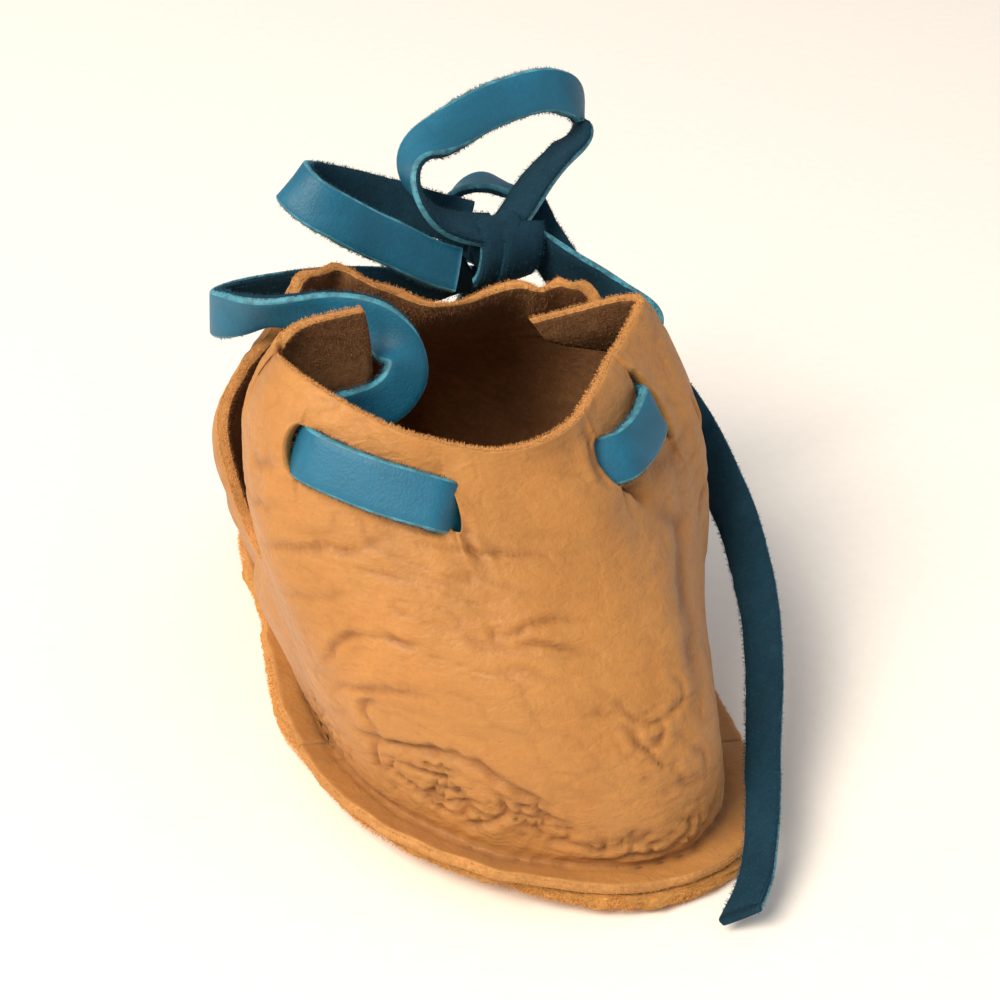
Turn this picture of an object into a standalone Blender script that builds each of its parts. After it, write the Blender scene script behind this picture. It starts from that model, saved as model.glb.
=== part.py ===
"""Baby moccasin for the right foot: soft leather upper stitched down on a flat sole, thong lace.

Shoe axes: +X to the wearer's right, +Y toward the toe, +Z up. The tables are in millimetres, measured
from the heel end of the sole; the origin of the finished part is on the floor, mid-length and mid-width.
"""
import bmesh
import bpy
import numpy as np
from mathutils import Matrix, Vector

# ---- driving dimensions, millimetres ---------------------------------------------------------------
MM = 0.001                # metres in a millimetre
SOLE_LENGTH = 118.5       # heel end to toe end, flange included
TABLE_LENGTH = 118.5      # sole length that the tables below are written for
SIZE = SOLE_LENGTH / TABLE_LENGTH
SOLE_THICK = 2.6          # thick sueded sole leather
LEATHER = 1.5             # deerskin of the upper
GAP = 0.3                 # clearance between pieces that touch
LAP = 1.1                 # how far the quarter's wings stand off where they lap over the vamp
LACE_WIDE = 6.6
LACE_THICK = 1.6
FLANGE_TOP = SOLE_THICK + GAP + LEATHER

AROUND = 108              # sections round the whole shoe
UP_WALL = 11              # rings up the wall
CENTRE = (-0.15, 59.8)    # table position that becomes the part's origin

# ---- sections going round the shoe ------------------------------------------------------------------
# groove = where the wall meets the flange, edge = flange width beyond it, lift = curl of the rim off
# the floor, rim = top of the wall, low / top = handles that shape the wall (out, and up or down).
SECTION_COLUMNS = ("groove_x", "groove_y", "edge", "lift", "rim_x", "rim_y", "rim_z",
                   "low_out", "low_up", "top_out", "top_down")
SECTIONS = {
    "heel":    (3.0, 5.0, 3.8, 0.8, -7.0, 30.0, 54.0, 4.0, 24.0, 2.0, 12.0),
    "heel_r":  (15.0, 7.8, 4.6, 0.0, 3.5, 33.5, 54.5, 4.0, 24.0, 3.0, 12.0),
    "rear_r":  (22.0, 17.0, 5.4, 0.0, 11.5, 41.5, 56.0, -4.0, 20.0, 18.0, 24.0),
    "side_r":  (25.0, 32.0, 6.0, 0.0, 19.0, 49.5, 57.5, -9.0, 18.0, 27.0, 28.0),
    "seam_r":  (27.0, 50.0, 6.2, 0.0, 25.0, 57.5, 57.0, -5.0, 18.0, 18.0, 21.0),
    "notch_r": (28.2, 61.0, 5.6, 0.0, 26.5, 63.5, 51.0, 0.0, 18.0, 12.0, 14.0),
    "ball_r":  (28.5, 74.0, 5.0, 0.0, 23.5, 69.0, 54.5, 1.0, 20.0, 13.0, 14.0),
    "fore_r":  (26.5, 92.0, 4.4, 0.5, 19.0, 72.0, 55.0, 2.0, 24.0, 7.0, 11.0),
    "toe_r":   (16.0, 108.5, 4.0, 1.5, 12.0, 75.0, 54.0, -1.0, 26.0, 2.0, 7.0),
    "toe":     (2.5, 114.5, 4.0, 2.0, 1.0, 76.0, 53.0, -2.5, 28.0, 1.0, 5.0),
    "toe_l":   (-10.0, 108.5, 4.0, 1.5, -7.0, 80.0, 56.0, 3.0, 26.0, 6.0, 8.0),
    "fore_l":  (-16.0, 93.5, 4.2, 0.5, -14.0, 80.5, 58.0, 17.0, 22.0, 14.0, 17.0),
    "ball_l":  (-18.4, 77.0, 4.2, 0.5, -19.5, 76.5, 57.0, 15.0, 22.0, 5.5, 14.0),
    "notch_l": (-22.0, 63.5, 4.2, 0.7, -26.0, 69.0, 53.0, 9.0, 20.0, 13.0, 10.0),
    "seam_l":  (-24.4, 51.0, 4.2, 1.0, -27.5, 61.0, 55.5, 5.5, 20.0, 11.0, 12.0),
    "side_l":  (-24.6, 34.0, 4.4, 2.0, -28.5, 49.5, 59.0, 5.5, 20.0, 11.5, 13.0),
    "rear_l":  (-20.0, 19.5, 4.0, 3.0, -22.5, 38.0, 57.0, 4.0, 22.0, 5.0, 12.0),
    "heel_l":  (-9.0, 9.0, 3.8, 2.4, -15.0, 32.5, 55.0, 4.0, 24.0, 2.0, 12.0),
}

# Quarter and vamp: where each piece begins and ends, measured round the groove from a named section.
QUARTER_FRONT_R = ("seam_r", 6.0)
QUARTER_FRONT_L = ("seam_l", -6.0)
VAMP_BACK_R = ("seam_r", 1.0)
VAMP_BACK_L = ("seam_l", -1.0)
LAP_FADE = 9.0            # distance in which a wing comes back to the shoe's own line
# Part of the wall's height that the vamp has, by distance from its rear corners: low under the wings,
# a shoulder on the left, then the standing throat edge.
VAMP_TOP_R = ((0.0, 0.62), (10.5, 0.58), (17.0, 1.0))
VAMP_TOP_L = ((0.0, 0.34), (5.0, 0.40), (13.0, 0.85), (24.0, 0.87), (27.0, 1.0))

# Front tabs of the quarter, folded in over the instep: start round the groove, shift of the tab's
# end, the part of the wall's height where the fold starts and is complete, how the fold and the rise
# grow toward the end, and how far the end stands straight up instead of leaning.
TAB_COLUMNS = ("start", "shift_x", "shift_y", "shift_z", "from_height", "to_height", "power", "rise",
               "upright")
TABS = {
    "left":  (12.0, 12.0, -5.0, 7.0, 0.25, 0.70, 1.5, 0.6, 1.25),
    "right": (10.0, -17.0, -2.0, 2.8, 0.86, 0.95, 1.8, 0.6, 0.0),
}

# ---- lace -------------------------------------------------------------------------------------------
# Slits in the quarter: distance round the groove from the heel, part of the wall's height.
SLITS = {"a": (-37.3, 0.83), "b": (-12.5, 0.81), "c": (15.5, 0.855), "d": (30.5, 0.905)}
SLIT_LONG = 6.8           # along the lace, so that the slanting lace clears both lips
SLIT_TALL = LACE_WIDE + 1.2
THROUGH = 5.0             # length round the shoe in which the lace changes sides
OFF_OUTSIDE = 0.5 * LACE_THICK + GAP + 0.4
OFF_INSIDE = -LEATHER - OFF_OUTSIDE
LACE_TAIL = 6.0           # inside run beyond the outermost slits

KNOT = (15.5, 83.5, 55.8)
KNOT_SIZE = (14.0, 8.0, 10.5)

# Free stretches of the lace, from the knot or the slits out: place of the middle line and the
# direction of the lace's width.
CORD_COLUMNS = ("x", "y", "z", "wide_x", "wide_y", "wide_z")
CORDS = {
    "lace_run_left": (
        (-25.3, 50.5, 50.0, 0.0, 0.0, 1.0),
        (-22.0, 53.5, 49.0, 0.0, 0.0, 1.0),
        (-17.0, 55.8, 48.0, -0.2, 0.1, 1.0),
        (-11.3, 57.4, 49.0, -0.6, 0.2, 0.8),
        (-8.9, 59.2, 52.0, -0.7, 0.2, 0.6),
        (-9.6, 62.0, 54.2, -0.9, 0.2, -0.3),
        (-11.5, 64.5, 56.3, -0.4, 0.2, -0.9),
        (-15.5, 67.0, 56.9, 0.0, 0.0, -1.0),
        (-20.5, 69.5, 56.8, 0.2, 0.3, -0.9),
        (-25.5, 72.5, 56.2, 0.3, 0.4, -0.8),
        (-28.8, 77.0, 54.2, 0.1, -0.2, -1.0),
        (-28.4, 82.3, 52.2, -0.1, -0.2, -1.0),
        (-24.5, 86.8, 51.0, -0.2, 0.0, -1.0),
        (-17.5, 89.2, 50.2, -0.2, 0.0, -1.0),
        (-10.0, 89.8, 49.8, -0.1, -0.1, -1.0),
        (-3.0, 88.4, 49.8, 0.1, 0.0, -1.0),
        (2.5, 86.2, 50.2, 0.3, 0.0, -0.9),
        (7.5, 84.6, 51.8, 0.4, 0.0, -0.9),
        (10.5, 83.3, 53.4, 0.3, 0.0, -0.9),
    ),
    "lace_run_right": (
        (20.5, 52.2, 42.0, -0.5, 0.1, 0.85),
        (20.2, 55.5, 41.8, -0.4, 0.0, 0.9),
        (23.4, 59.8, 41.4, -0.2, 0.0, 0.95),
        (28.9, 62.6, 44.6, 0.0, -0.1, 0.95),
        (32.7, 65.8, 48.0, 0.0, -0.3, 0.95),
        (32.6, 69.6, 48.8, 0.1, -0.4, 0.9),
        (31.0, 73.4, 49.6, 0.15, -0.5, 0.8),
        (28.6, 76.8, 51.2, 0.1, -0.5, 0.8),
        (24.8, 79.3, 53.4, 0.1, -0.5, 0.8),
        (22.0, 81.8, 55.0, 0.1, -0.4, 0.8),
        (19.0, 83.5, 56.4, 0.2, -0.2, 0.9),
    ),
    "bow_loop_big": (
        (14.6, 83.5, 58.8, 0.4, 0.85, 0.2),
        (8.8, 83.0, 60.1, 0.4, 0.85, 0.1),
        (5.0, 83.4, 61.9, 0.4, 0.85, -0.1),
        (2.9, 84.8, 64.6, 0.4, 0.8, -0.4),
        (2.4, 87.0, 67.2, 0.1, 0.8, -0.5),
        (4.2, 89.5, 69.5, -0.3, 0.6, -0.1),
        (9.2, 92.0, 71.2, -0.3, 0.5, 0.4),
        (16.0, 94.5, 73.0, -0.2, 0.4, 0.8),
        (23.0, 96.5, 74.0, -0.1, 0.4, 0.85),
        (28.8, 97.6, 74.0, 0.0, 0.4, 0.9),
        (31.8, 98.3, 72.9, 0.15, 0.5, 0.85),
        (34.0, 99.4, 71.4, 0.3, 0.65, 0.7),
        (35.3, 100.3, 69.4, 0.45, 0.8, 0.25),
        (35.4, 99.9, 67.2, 0.35, 0.9, -0.1),
        (33.6, 97.7, 65.6, 0.0, 0.9, -0.2),
        (29.6, 95.0, 64.1, -0.3, 0.85, -0.3),
        (24.7, 91.7, 62.1, -0.4, 0.85, -0.3),
        (20.3, 88.0, 59.8, -0.4, 0.85, -0.3),
        (15.9, 84.5, 57.7, -0.3, 0.85, -0.2),
    ),
    "bow_loop_left": (
        (7.5, 81.0, 54.5, 0.4, 0.4, 0.8),
        (3.5, 80.8, 56.2, 0.4, 0.4, 0.8),
        (-1.5, 80.8, 59.2, 0.5, 0.3, 0.8),
        (-6.5, 81.0, 62.0, 0.5, 0.3, 0.8),
        (-11.0, 81.5, 64.8, 0.6, 0.3, 0.8),
        (-14.5, 83.5, 67.0, 0.6, 0.1, 0.8),
        (-15.5, 86.5, 68.0, 0.7, 0.1, 0.7),
        (-12.5, 89.5, 66.7, 0.6, 0.3, 0.8),
        (-8.0, 91.5, 64.7, 0.3, 0.4, 0.8),
        (-3.0, 92.5, 62.7, 0.3, 0.4, 0.9),
        (3.0, 92.3, 60.6, 0.3, 0.4, 0.8),
        (8.5, 90.5, 58.9, 0.3, 0.4, 0.8),
        (12.5, 88.2, 58.2, 0.2, 0.4, 0.9),
    ),
    "lace_end_right": (
        (16.0, 87.2, 54.4, 0.4, 0.5, 0.3),
        (13.4, 92.2, 53.8, 0.5, 0.6, 0.2),
        (11.8, 95.9, 56.0, 0.6, 0.7, -0.1),
        (13.4, 97.0, 58.7, 0.5, 0.8, -0.3),
        (16.3, 97.3, 60.0, 0.4, 0.9, -0.2),
        (19.4, 97.9, 59.9, 0.4, 0.9, -0.1),
        (22.4, 98.3, 58.9, 0.3, 0.9, -0.2),
        (24.9, 97.3, 57.6, -0.1, 0.8, -0.5),
        (25.2, 94.6, 56.3, -0.5, 0.5, -0.6),
        (25.3, 91.9, 54.4, -0.8, 0.1, -0.5),
        (26.2, 89.2, 52.3, -0.8, 0.1, -0.56),
        (27.2, 86.7, 50.2, -0.8, 0.1, -0.56),
        (28.8, 84.0, 47.4, -0.8, 0.2, -0.56),
        (30.7, 81.0, 45.0, -0.7, 0.3, -0.6),
        (33.1, 78.5, 42.4, -0.7, 0.4, -0.6),
        (35.3, 75.5, 39.9, -0.6, 0.4, -0.6),
        (37.3, 72.0, 37.5, -0.6, 0.4, -0.6),
        (38.9, 67.0, 34.8, -0.6, 0.5, -0.6),
        (39.7, 61.0, 31.9, -0.6, 0.6, -0.5),
        (39.7, 54.5, 28.9, -0.6, 0.6, -0.5),
        (39.4, 48.0, 25.7, -0.6, 0.6, -0.4),
        (38.3, 42.0, 23.0, -0.5, 0.7, -0.35),
        (36.8, 36.5, 20.7, -0.5, 0.75, -0.25),
        (34.3, 29.5, 17.6, -0.4, 0.85, -0.2),
        (29.4, 19.5, 12.9, -0.35, 0.9, -0.2),
        (25.8, 13.0, 10.2, -0.3, 0.9, -0.2),
        (22.1, 6.2, 8.3, -0.2, 0.95, -0.2),
        (19.4, 1.7, 6.8, -0.3, 0.9, -0.3),
        (16.7, -2.2, 4.8, -0.5, 0.7, -0.4),
        (12.2, -6.4, 3.4, -0.7, 0.4, -0.4),
    ),
}

# The second end lies on the vamp: distance round the groove, part of the wall's height, stand-off.
END_COLUMNS = ("around", "height", "off")
END_LEFT = (
    (118.2, 0.730, 7.0),
    (118.7, 0.700, 4.6),
    (119.5, 0.630, 2.8),
    (122.0, 0.560, 1.7),
    (125.0, 0.480, 1.5),
    (128.5, 0.400, 1.5),
    (132.0, 0.320, 1.5),
    (135.5, 0.250, 1.5),
    (138.5, 0.190, 1.5),
)


# ---- small tools --------------------------------------------------------------------------------------
def spline(knots, values, at, period=None):
    """Cubic spline through values at knots; natural at the ends, or closed when a period is given."""
    knots, values, at = (np.asarray(a, float) for a in (knots, values, at))
    count = len(knots)
    if period:
        steps = np.diff(np.append(knots, knots[0] + period))
        at = (at - knots[0]) % period + knots[0]
    else:
        steps = np.diff(knots)
    matrix, right = np.eye(count), np.zeros(count)
    inner = range(count) if period else range(1, count - 1)
    for i in inner:
        after, before = (i + 1) % count, i - 1
        matrix[i] = 0.0
        matrix[i, before] += steps[before]
        matrix[i, i] += 2 * (steps[before] + steps[i])
        matrix[i, after] += steps[i]
        right[i] = 6 * ((values[after] - values[i]) / steps[i]
                        - (values[i] - values[before]) / steps[before])
    bend = np.linalg.solve(matrix, right)
    i = np.clip(np.searchsorted(knots, at, side="right") - 1, 0, len(steps) - 1)
    after = (i + 1) % count
    a = at - knots[i]
    b = steps[i] - a
    return (bend[i] * b ** 3 / (6 * steps[i]) + bend[after] * a ** 3 / (6 * steps[i])
            + (values[i] / steps[i] - bend[i] * steps[i] / 6) * b
            + (values[after] / steps[i] - bend[after] * steps[i] / 6) * a)


def ease(x):
    """Smooth step from 0 to 1."""
    x = np.clip(x, 0.0, 1.0)
    return x * x * (3 - 2 * x)


def unit(v):
    return v / np.maximum(np.linalg.norm(v, axis=-1, keepdims=True), 1e-9)


def to_part(points):
    """Table millimetres to metres in the part's frame."""
    points = np.array(points, float)
    points[..., 0] -= CENTRE[0]
    points[..., 1] -= CENTRE[1]
    return points * MM * np.array([SIZE, SIZE, SIZE])


# ---- the shoe's own surface -----------------------------------------------------------------------------
class Form:
    """The outer surface of the upper: where it is, for a distance round and a part of the height."""

    def __init__(self):
        rows = np.array(list(SECTIONS.values()))
        grooves = rows[:, :2]
        steps = np.linalg.norm(np.roll(grooves, -1, 0) - grooves, axis=1)
        self.knots = np.concatenate([[0.0], np.cumsum(steps)[:-1]])
        self.round = steps.sum()
        self.rows = rows
        self.names = list(SECTIONS)

    def place(self, mark):
        name, beyond = mark
        return self.knots[self.names.index(name)] + beyond

    def column(self, name, around):
        return spline(self.knots, self.rows[:, SECTION_COLUMNS.index(name)], around, self.round)

    def outward(self, around):
        step = 0.01
        ahead, back = around + step, around - step
        run_x = self.column("groove_x", ahead) - self.column("groove_x", back)
        run_y = self.column("groove_y", ahead) - self.column("groove_y", back)
        return unit(np.stack([run_y, -run_x, 0 * run_x], -1))

    def flange(self, around):
        """Groove and edge points on top of the flange."""
        out = self.outward(around)
        lift = self.column("lift", around)
        groove = np.stack([self.column("groove_x", around), self.column("groove_y", around),
                           FLANGE_TOP + 0.6 * lift], -1)
        edge = groove + out * self.column("edge", around)[:, None]
        edge[:, 2] = FLANGE_TOP + lift
        return groove, edge, out

    def wall(self, around, height):
        """Grid of wall points; height runs from 0 at the groove to 1 at the rim."""
        groove, _, out = self.flange(around)
        rim = np.stack([self.column(c, around) for c in ("rim_x", "rim_y", "rim_z")], -1)
        low = groove + out * self.column("low_out", around)[:, None]
        low[:, 2] += self.column("low_up", around)
        top = rim + out * self.column("top_out", around)[:, None]
        top[:, 2] -= self.column("top_down", around)
        t = np.broadcast_to(height, (len(around), np.shape(height)[-1]))[..., None]
        a, b, c, d = (p[:, None, :] for p in (groove, low, top, rim))
        return (1 - t) ** 3 * a + 3 * (1 - t) ** 2 * t * b + 3 * (1 - t) * t * t * c + t ** 3 * d

    def normals(self, around, height, shape=None):
        """Outward directions of the wall grid, or of the same grid as another function shapes it."""
        shape = shape or self.wall
        step, rise = 0.05, 0.002
        along = shape(around + step, height) - shape(around - step, height)
        up = shape(around, np.minimum(height + rise, 1.0)) - shape(around, np.maximum(height - rise, 0.0))
        return unit(np.cross(along, up))


FORM = Form()


def tab_shift(around, height):
    """How far the quarter's front tabs fold in from the shoe's own surface."""
    shift = 0.0
    face = FORM.wall(around, height)
    rim = FORM.wall(around, np.ones((len(around), 1)))
    for side, front in (("left", QUARTER_FRONT_L), ("right", QUARTER_FRONT_R)):
        tab = dict(zip(TAB_COLUMNS, TABS[side]))
        end = FORM.place(front)
        reach = tab["start"] - (around - end) if side == "left" else tab["start"] + (around - end)
        reach = np.where(np.abs(around - end) < 30.0, np.clip(reach / tab["start"], 0.0, 1.3), 0.0)
        bend = ease((height - tab["from_height"]) / (tab["to_height"] - tab["from_height"]))
        in_plan = np.array([tab["shift_x"], tab["shift_y"], 0.0])
        upward = np.array([0.0, 0.0, tab["shift_z"]])
        move = (reach ** tab["power"])[:, None] * in_plan + (reach ** tab["rise"])[:, None] * upward
        upright = (rim - face) * np.array([1.0, 1.0, 0.0]) * tab["upright"]
        fold = move[:, None, :] + (reach ** tab["power"])[:, None, None] * upright
        shift = shift + bend[..., None] * fold
    return shift


def quarter_wall(around, height):
    height = np.broadcast_to(height, (len(around), np.shape(height)[-1]))
    return FORM.wall(around, height) + tab_shift(around, height)


def vamp_height(around, height):
    """The vamp is low under the quarter's wings and rises from there to its standing throat."""
    back_r, back_l = FORM.place(VAMP_BACK_R), FORM.place(VAMP_BACK_L)
    run_r, top_r = np.array(VAMP_TOP_R).T
    run_l, top_l = np.array(VAMP_TOP_L).T
    top = np.minimum(np.interp(around - back_r, run_r, top_r), np.interp(back_l - around, run_l, top_l))
    return top[:, None] * np.asarray(height)


def vamp_wall(around, height):
    return FORM.wall(around, vamp_height(around, height))


def lap(around):
    """Stand-off of the quarter: full where it covers the vamp, none further back."""
    back_r, back_l = FORM.place(VAMP_BACK_R), FORM.place(VAMP_BACK_L) - FORM.round
    inside = np.minimum(around - back_l, back_r - around)
    return LAP * (1 - ease(inside / LAP_FADE))


def leather_grids(around, wall_of, stand_off):
    """Outer and inner faces of one leather piece, from flange edge over the groove up to the rim."""
    height = np.linspace(0.0, 1.0, UP_WALL + 1) ** 0.9
    groove, edge, out = FORM.flange(around)
    wall = wall_of(around, height)
    face = FORM.normals(around, height, wall_of)
    face[:, 0] = out
    rise = np.array([0.0, 0.0, 1.0])
    off = stand_off[:, None]
    flange_out = np.stack([edge + rise * off, 0.5 * (edge + groove) + rise * off], 1)
    wall_out = wall + face * off[..., None]
    wall_out[:, 0] += rise * off
    outer = np.concatenate([flange_out, wall_out], 1)
    flange_in = flange_out - rise * LEATHER
    wall_in = wall_out - face * LEATHER
    wall_in[:, 0] -= rise * LEATHER
    inner = np.concatenate([flange_in, wall_in], 1)
    return outer, inner


def new_object(name, mesh, collection, material=None):
    item = bpy.data.objects.new(name, mesh)
    collection.objects.link(item)
    if material:
        mesh.materials.append(material)
    return item


def sheet_mesh(name, outer, inner):
    """Closed solid between two grids of the same size, its four borders bridged."""
    count, rings = outer.shape[:2]
    form = bmesh.new()
    far = [[form.verts.new(p) for p in row] for row in to_part(outer)]
    near = [[form.verts.new(p) for p in row] for row in to_part(inner)]
    for i in range(count - 1):
        for j in range(rings - 1):
            form.faces.new((far[i][j], far[i + 1][j], far[i + 1][j + 1], far[i][j + 1]))
            form.faces.new((near[i][j], near[i][j + 1], near[i + 1][j + 1], near[i + 1][j]))
        for j in (0, rings - 1):
            form.faces.new((far[i][j], near[i][j], near[i + 1][j], far[i + 1][j]))
    for i in (0, count - 1):
        for j in range(rings - 1):
            form.faces.new((far[i][j], far[i][j + 1], near[i][j + 1], near[i][j]))
    bmesh.ops.recalc_face_normals(form, faces=form.faces)
    mesh = bpy.data.meshes.new(name)
    form.to_mesh(mesh)
    form.free()
    return mesh


# ---- materials --------------------------------------------------------------------------------------
MATERIALS = {
    "deerskin": ((0.60, 0.33, 0.13, 1.0), 0.62),
    "sole_leather": ((0.52, 0.27, 0.11, 1.0), 0.85),
    "lace_leather": ((0.02, 0.17, 0.30, 1.0), 0.60),
}


def make_materials():
    made = {}
    for name, (colour, roughness) in MATERIALS.items():
        material = bpy.data.materials.new(name)
        material.use_nodes = True
        shader = material.node_tree.nodes["Principled BSDF"]
        shader.inputs["Base Color"].default_value = colour
        shader.inputs["Roughness"].default_value = roughness
        shader.inputs["Metallic"].default_value = 0.0
        made[name] = material
    return made


# ---- sole ------------------------------------------------------------------------------------------------
SOLE_RINGS = ((1.0, 1.0), (0.93, 0.70), (0.84, 0.28), (0.72, 0.0))   # part of the outline, part of the lift


def make_sole(parts, material):
    """Flat plate with the flange's outline; its rim curls up with the flange at the left and the toe."""
    around = np.linspace(0, FORM.round, 84, endpoint=False)
    _, edge, _ = FORM.flange(around)
    lift = FORM.column("lift", around)
    middle = np.array([edge[:, 0].mean(), edge[:, 1].mean()])
    form = bmesh.new()
    levels = {}
    for side, base in (("top", SOLE_THICK), ("bottom", 0.0)):
        for part, curl in SOLE_RINGS:
            ring = np.empty((len(around), 3))
            ring[:, :2] = middle + (edge[:, :2] - middle) * part
            ring[:, 2] = base + lift * curl
            levels[side, part] = [form.verts.new(p) for p in to_part(ring)]
    fractions = [part for part, _ in SOLE_RINGS]
    bands = [(("top", a), ("top", b)) for a, b in zip(fractions, fractions[1:])]
    bands += [(("bottom", a), ("bottom", b)) for a, b in zip(fractions, fractions[1:])]
    bands.append((("top", 1.0), ("bottom", 1.0)))
    for first, second in bands:
        one, two = levels[first], levels[second]
        for i in range(len(one)):
            j = (i + 1) % len(one)
            form.faces.new((one[i], one[j], two[j], two[i]))
    form.faces.new(levels["top", fractions[-1]])
    form.faces.new(levels["bottom", fractions[-1]])
    bmesh.ops.recalc_face_normals(form, faces=form.faces)
    mesh = bpy.data.meshes.new("sole")
    form.to_mesh(mesh)
    form.free()
    return new_object("sole", mesh, parts, material)


# ---- upper ------------------------------------------------------------------------------------------
def span(start, stop):
    """Section places from start to stop, on the shoe's common grid so that lapping pieces match."""
    step = FORM.round / AROUND
    grid = np.arange(-AROUND, 2 * AROUND) * step
    inner = grid[(grid > start + 0.3 * step) & (grid < stop - 0.3 * step)]
    return np.concatenate([[start], inner, [stop]])


def quarter_at(around, height):
    """Quarter's wall for distances that run from the left front, negative, to the right front."""
    return quarter_wall(np.where(around < 0, around + FORM.round, around), height)


def add_boolean(item, other, operation):
    cut = item.modifiers.new(other.name, "BOOLEAN")
    cut.operation = operation
    cut.object = other


def as_cutter(item):
    item.hide_render = True
    item.display_type = "WIRE"
    return item


def make_upper(parts, cutters, material):
    heel_span = span(FORM.place(QUARTER_FRONT_L) - FORM.round, FORM.place(QUARTER_FRONT_R))
    toe_span = span(FORM.place(VAMP_BACK_R), FORM.place(VAMP_BACK_L))
    quarter = sheet_mesh("upper", *leather_grids(heel_span, quarter_at, lap(heel_span)))
    vamp = sheet_mesh("vamp_form", *leather_grids(toe_span, vamp_wall, 0 * toe_span))
    upper = new_object("upper", quarter, parts, material)
    add_boolean(upper, as_cutter(new_object("vamp_form", vamp, cutters)), "UNION")
    for slit in SLITS:
        add_boolean(upper, make_slit_cutter(slit, cutters), "DIFFERENCE")
    return upper


def wall_frame(around, height):
    """Point of the quarter's outer face with its directions: along the lace, up the wall, outward."""
    near = np.array([around - 0.5, around, around + 0.5])
    levels = np.array([height - 0.01, height, height + 0.01])
    grid = quarter_at(near, levels)
    along = unit(grid[2, 1] - grid[0, 1])
    outward = unit(np.cross(along, grid[1, 2] - grid[1, 0]))
    return grid[1, 1], along, unit(np.cross(outward, along)), outward


def make_slit_cutter(slit, cutters):
    place, along, up, outward = wall_frame(*SLITS[slit])
    bpy.ops.mesh.primitive_cube_add(size=1.0)
    item = bpy.context.object
    item.name = "slit_" + slit
    size = (SLIT_LONG * MM, SLIT_TALL * MM, 4 * LEATHER * MM)
    turn = Matrix((along, up, outward)).transposed().to_4x4()
    middle = Vector(to_part(place - outward * 0.5 * LEATHER))
    item.data.transform(Matrix.Translation(middle) @ turn @ Matrix.Diagonal((*size, 1.0)))
    for group in item.users_collection:
        group.objects.unlink(item)
    cutters.objects.link(item)
    return as_cutter(item)


# ---- lace -------------------------------------------------------------------------------------------
def smooth_line(points, spacing):
    """Points every spacing millimetres on a smooth curve through rows of any width."""
    points = np.asarray(points, float)
    steps = np.linalg.norm(np.diff(points[:, :3], axis=0), axis=1)
    knots = np.concatenate([[0.0], np.cumsum(steps)])
    at = np.linspace(0.0, knots[-1], max(4, int(round(knots[-1] / spacing)) + 1))
    return np.stack([spline(knots, points[:, k], at) for k in range(points.shape[1])], -1)


def strip_mesh(name, middle, wide):
    """Flat strip with a rectangular section along a middle line; wide gives its width's direction."""
    along = unit(np.gradient(middle, axis=0))
    wide = unit(wide - along * (wide * along).sum(-1, keepdims=True))
    thick = np.cross(along, wide)
    corners = ((0.5, 0.5), (-0.5, 0.5), (-0.5, -0.5), (0.5, -0.5))
    form = bmesh.new()
    rings = []
    for centre, side, face in zip(middle, wide, thick):
        ring = [centre + side * a * LACE_WIDE + face * b * LACE_THICK for a, b in corners]
        rings.append([form.verts.new(p) for p in to_part(ring)])
    for one, two in zip(rings, rings[1:]):
        for k in range(4):
            form.faces.new((one[k], one[(k + 1) % 4], two[(k + 1) % 4], two[k]))
    form.faces.new(rings[0])
    form.faces.new(rings[-1])
    bmesh.ops.recalc_face_normals(form, faces=form.faces)
    mesh = bpy.data.meshes.new(name)
    form.to_mesh(mesh)
    form.free()
    return mesh


def collar_route():
    """Middle line and width of the lace through the four slits: out at a and c, in at b and d."""
    marks = [(SLITS["a"][0] - 0.5 * THROUGH - LACE_TAIL, SLITS["a"][1], OFF_INSIDE)]
    side = OFF_INSIDE
    for around, height in SLITS.values():
        marks.append((around - 0.5 * THROUGH, height, side))
        side = OFF_OUTSIDE if side == OFF_INSIDE else OFF_INSIDE
        marks.append((around + 0.5 * THROUGH, height, side))
    marks.append((SLITS["d"][0] + 0.5 * THROUGH + LACE_TAIL, SLITS["d"][1], OFF_INSIDE))
    around, height, off = (np.array(c) for c in zip(*marks))
    fine = np.arange(around[0], around[-1], 1.5)
    level = np.interp(fine, around, height)
    stand = np.interp(fine, around, off)
    soft = np.convolve(np.pad(stand, 1, mode="edge"), (0.2, 0.6, 0.2), mode="valid")
    frames = [wall_frame(a, h) for a, h in zip(fine, level)]
    middle = np.array([place + outward * s for (place, _, _, outward), s in zip(frames, soft)])
    return middle, np.array([up for _, _, up, _ in frames])


def cord_route(name):
    line = smooth_line(CORDS[name], 2.2)
    return line[:, :3], line[:, 3:]


def end_left_route():
    """Middle line and width of the end that lies on the vamp."""
    rows = smooth_line(END_LEFT, 0.35)
    places, sides = [], []
    for around, height, off in rows:
        near = FORM.wall(np.array([around, around + 0.5]), np.array([height, height + 0.01]))
        outward = unit(np.cross(near[1, 0] - near[0, 0], near[0, 1] - near[0, 0]))
        places.append(near[0, 0] + outward * off)
        sides.append(outward)
    places, sides = np.array(places), np.array(sides)
    return places, np.cross(sides, np.gradient(places, axis=0))


def knot_form(name, clearance, collection):
    """The knot's rounded mass, or the same form grown by a clearance."""
    bpy.ops.mesh.primitive_uv_sphere_add(segments=20, ring_count=12, radius=0.5)
    knot = bpy.context.object
    knot.name = knot.data.name = name
    size = [(v + 2 * clearance) * MM for v in KNOT_SIZE]
    knot.data.transform(Matrix.Translation(Vector(to_part(KNOT))) @ Matrix.Diagonal((*size, 1.0)))
    for group in knot.users_collection:
        group.objects.unlink(knot)
    collection.objects.link(knot)
    return knot


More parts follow.
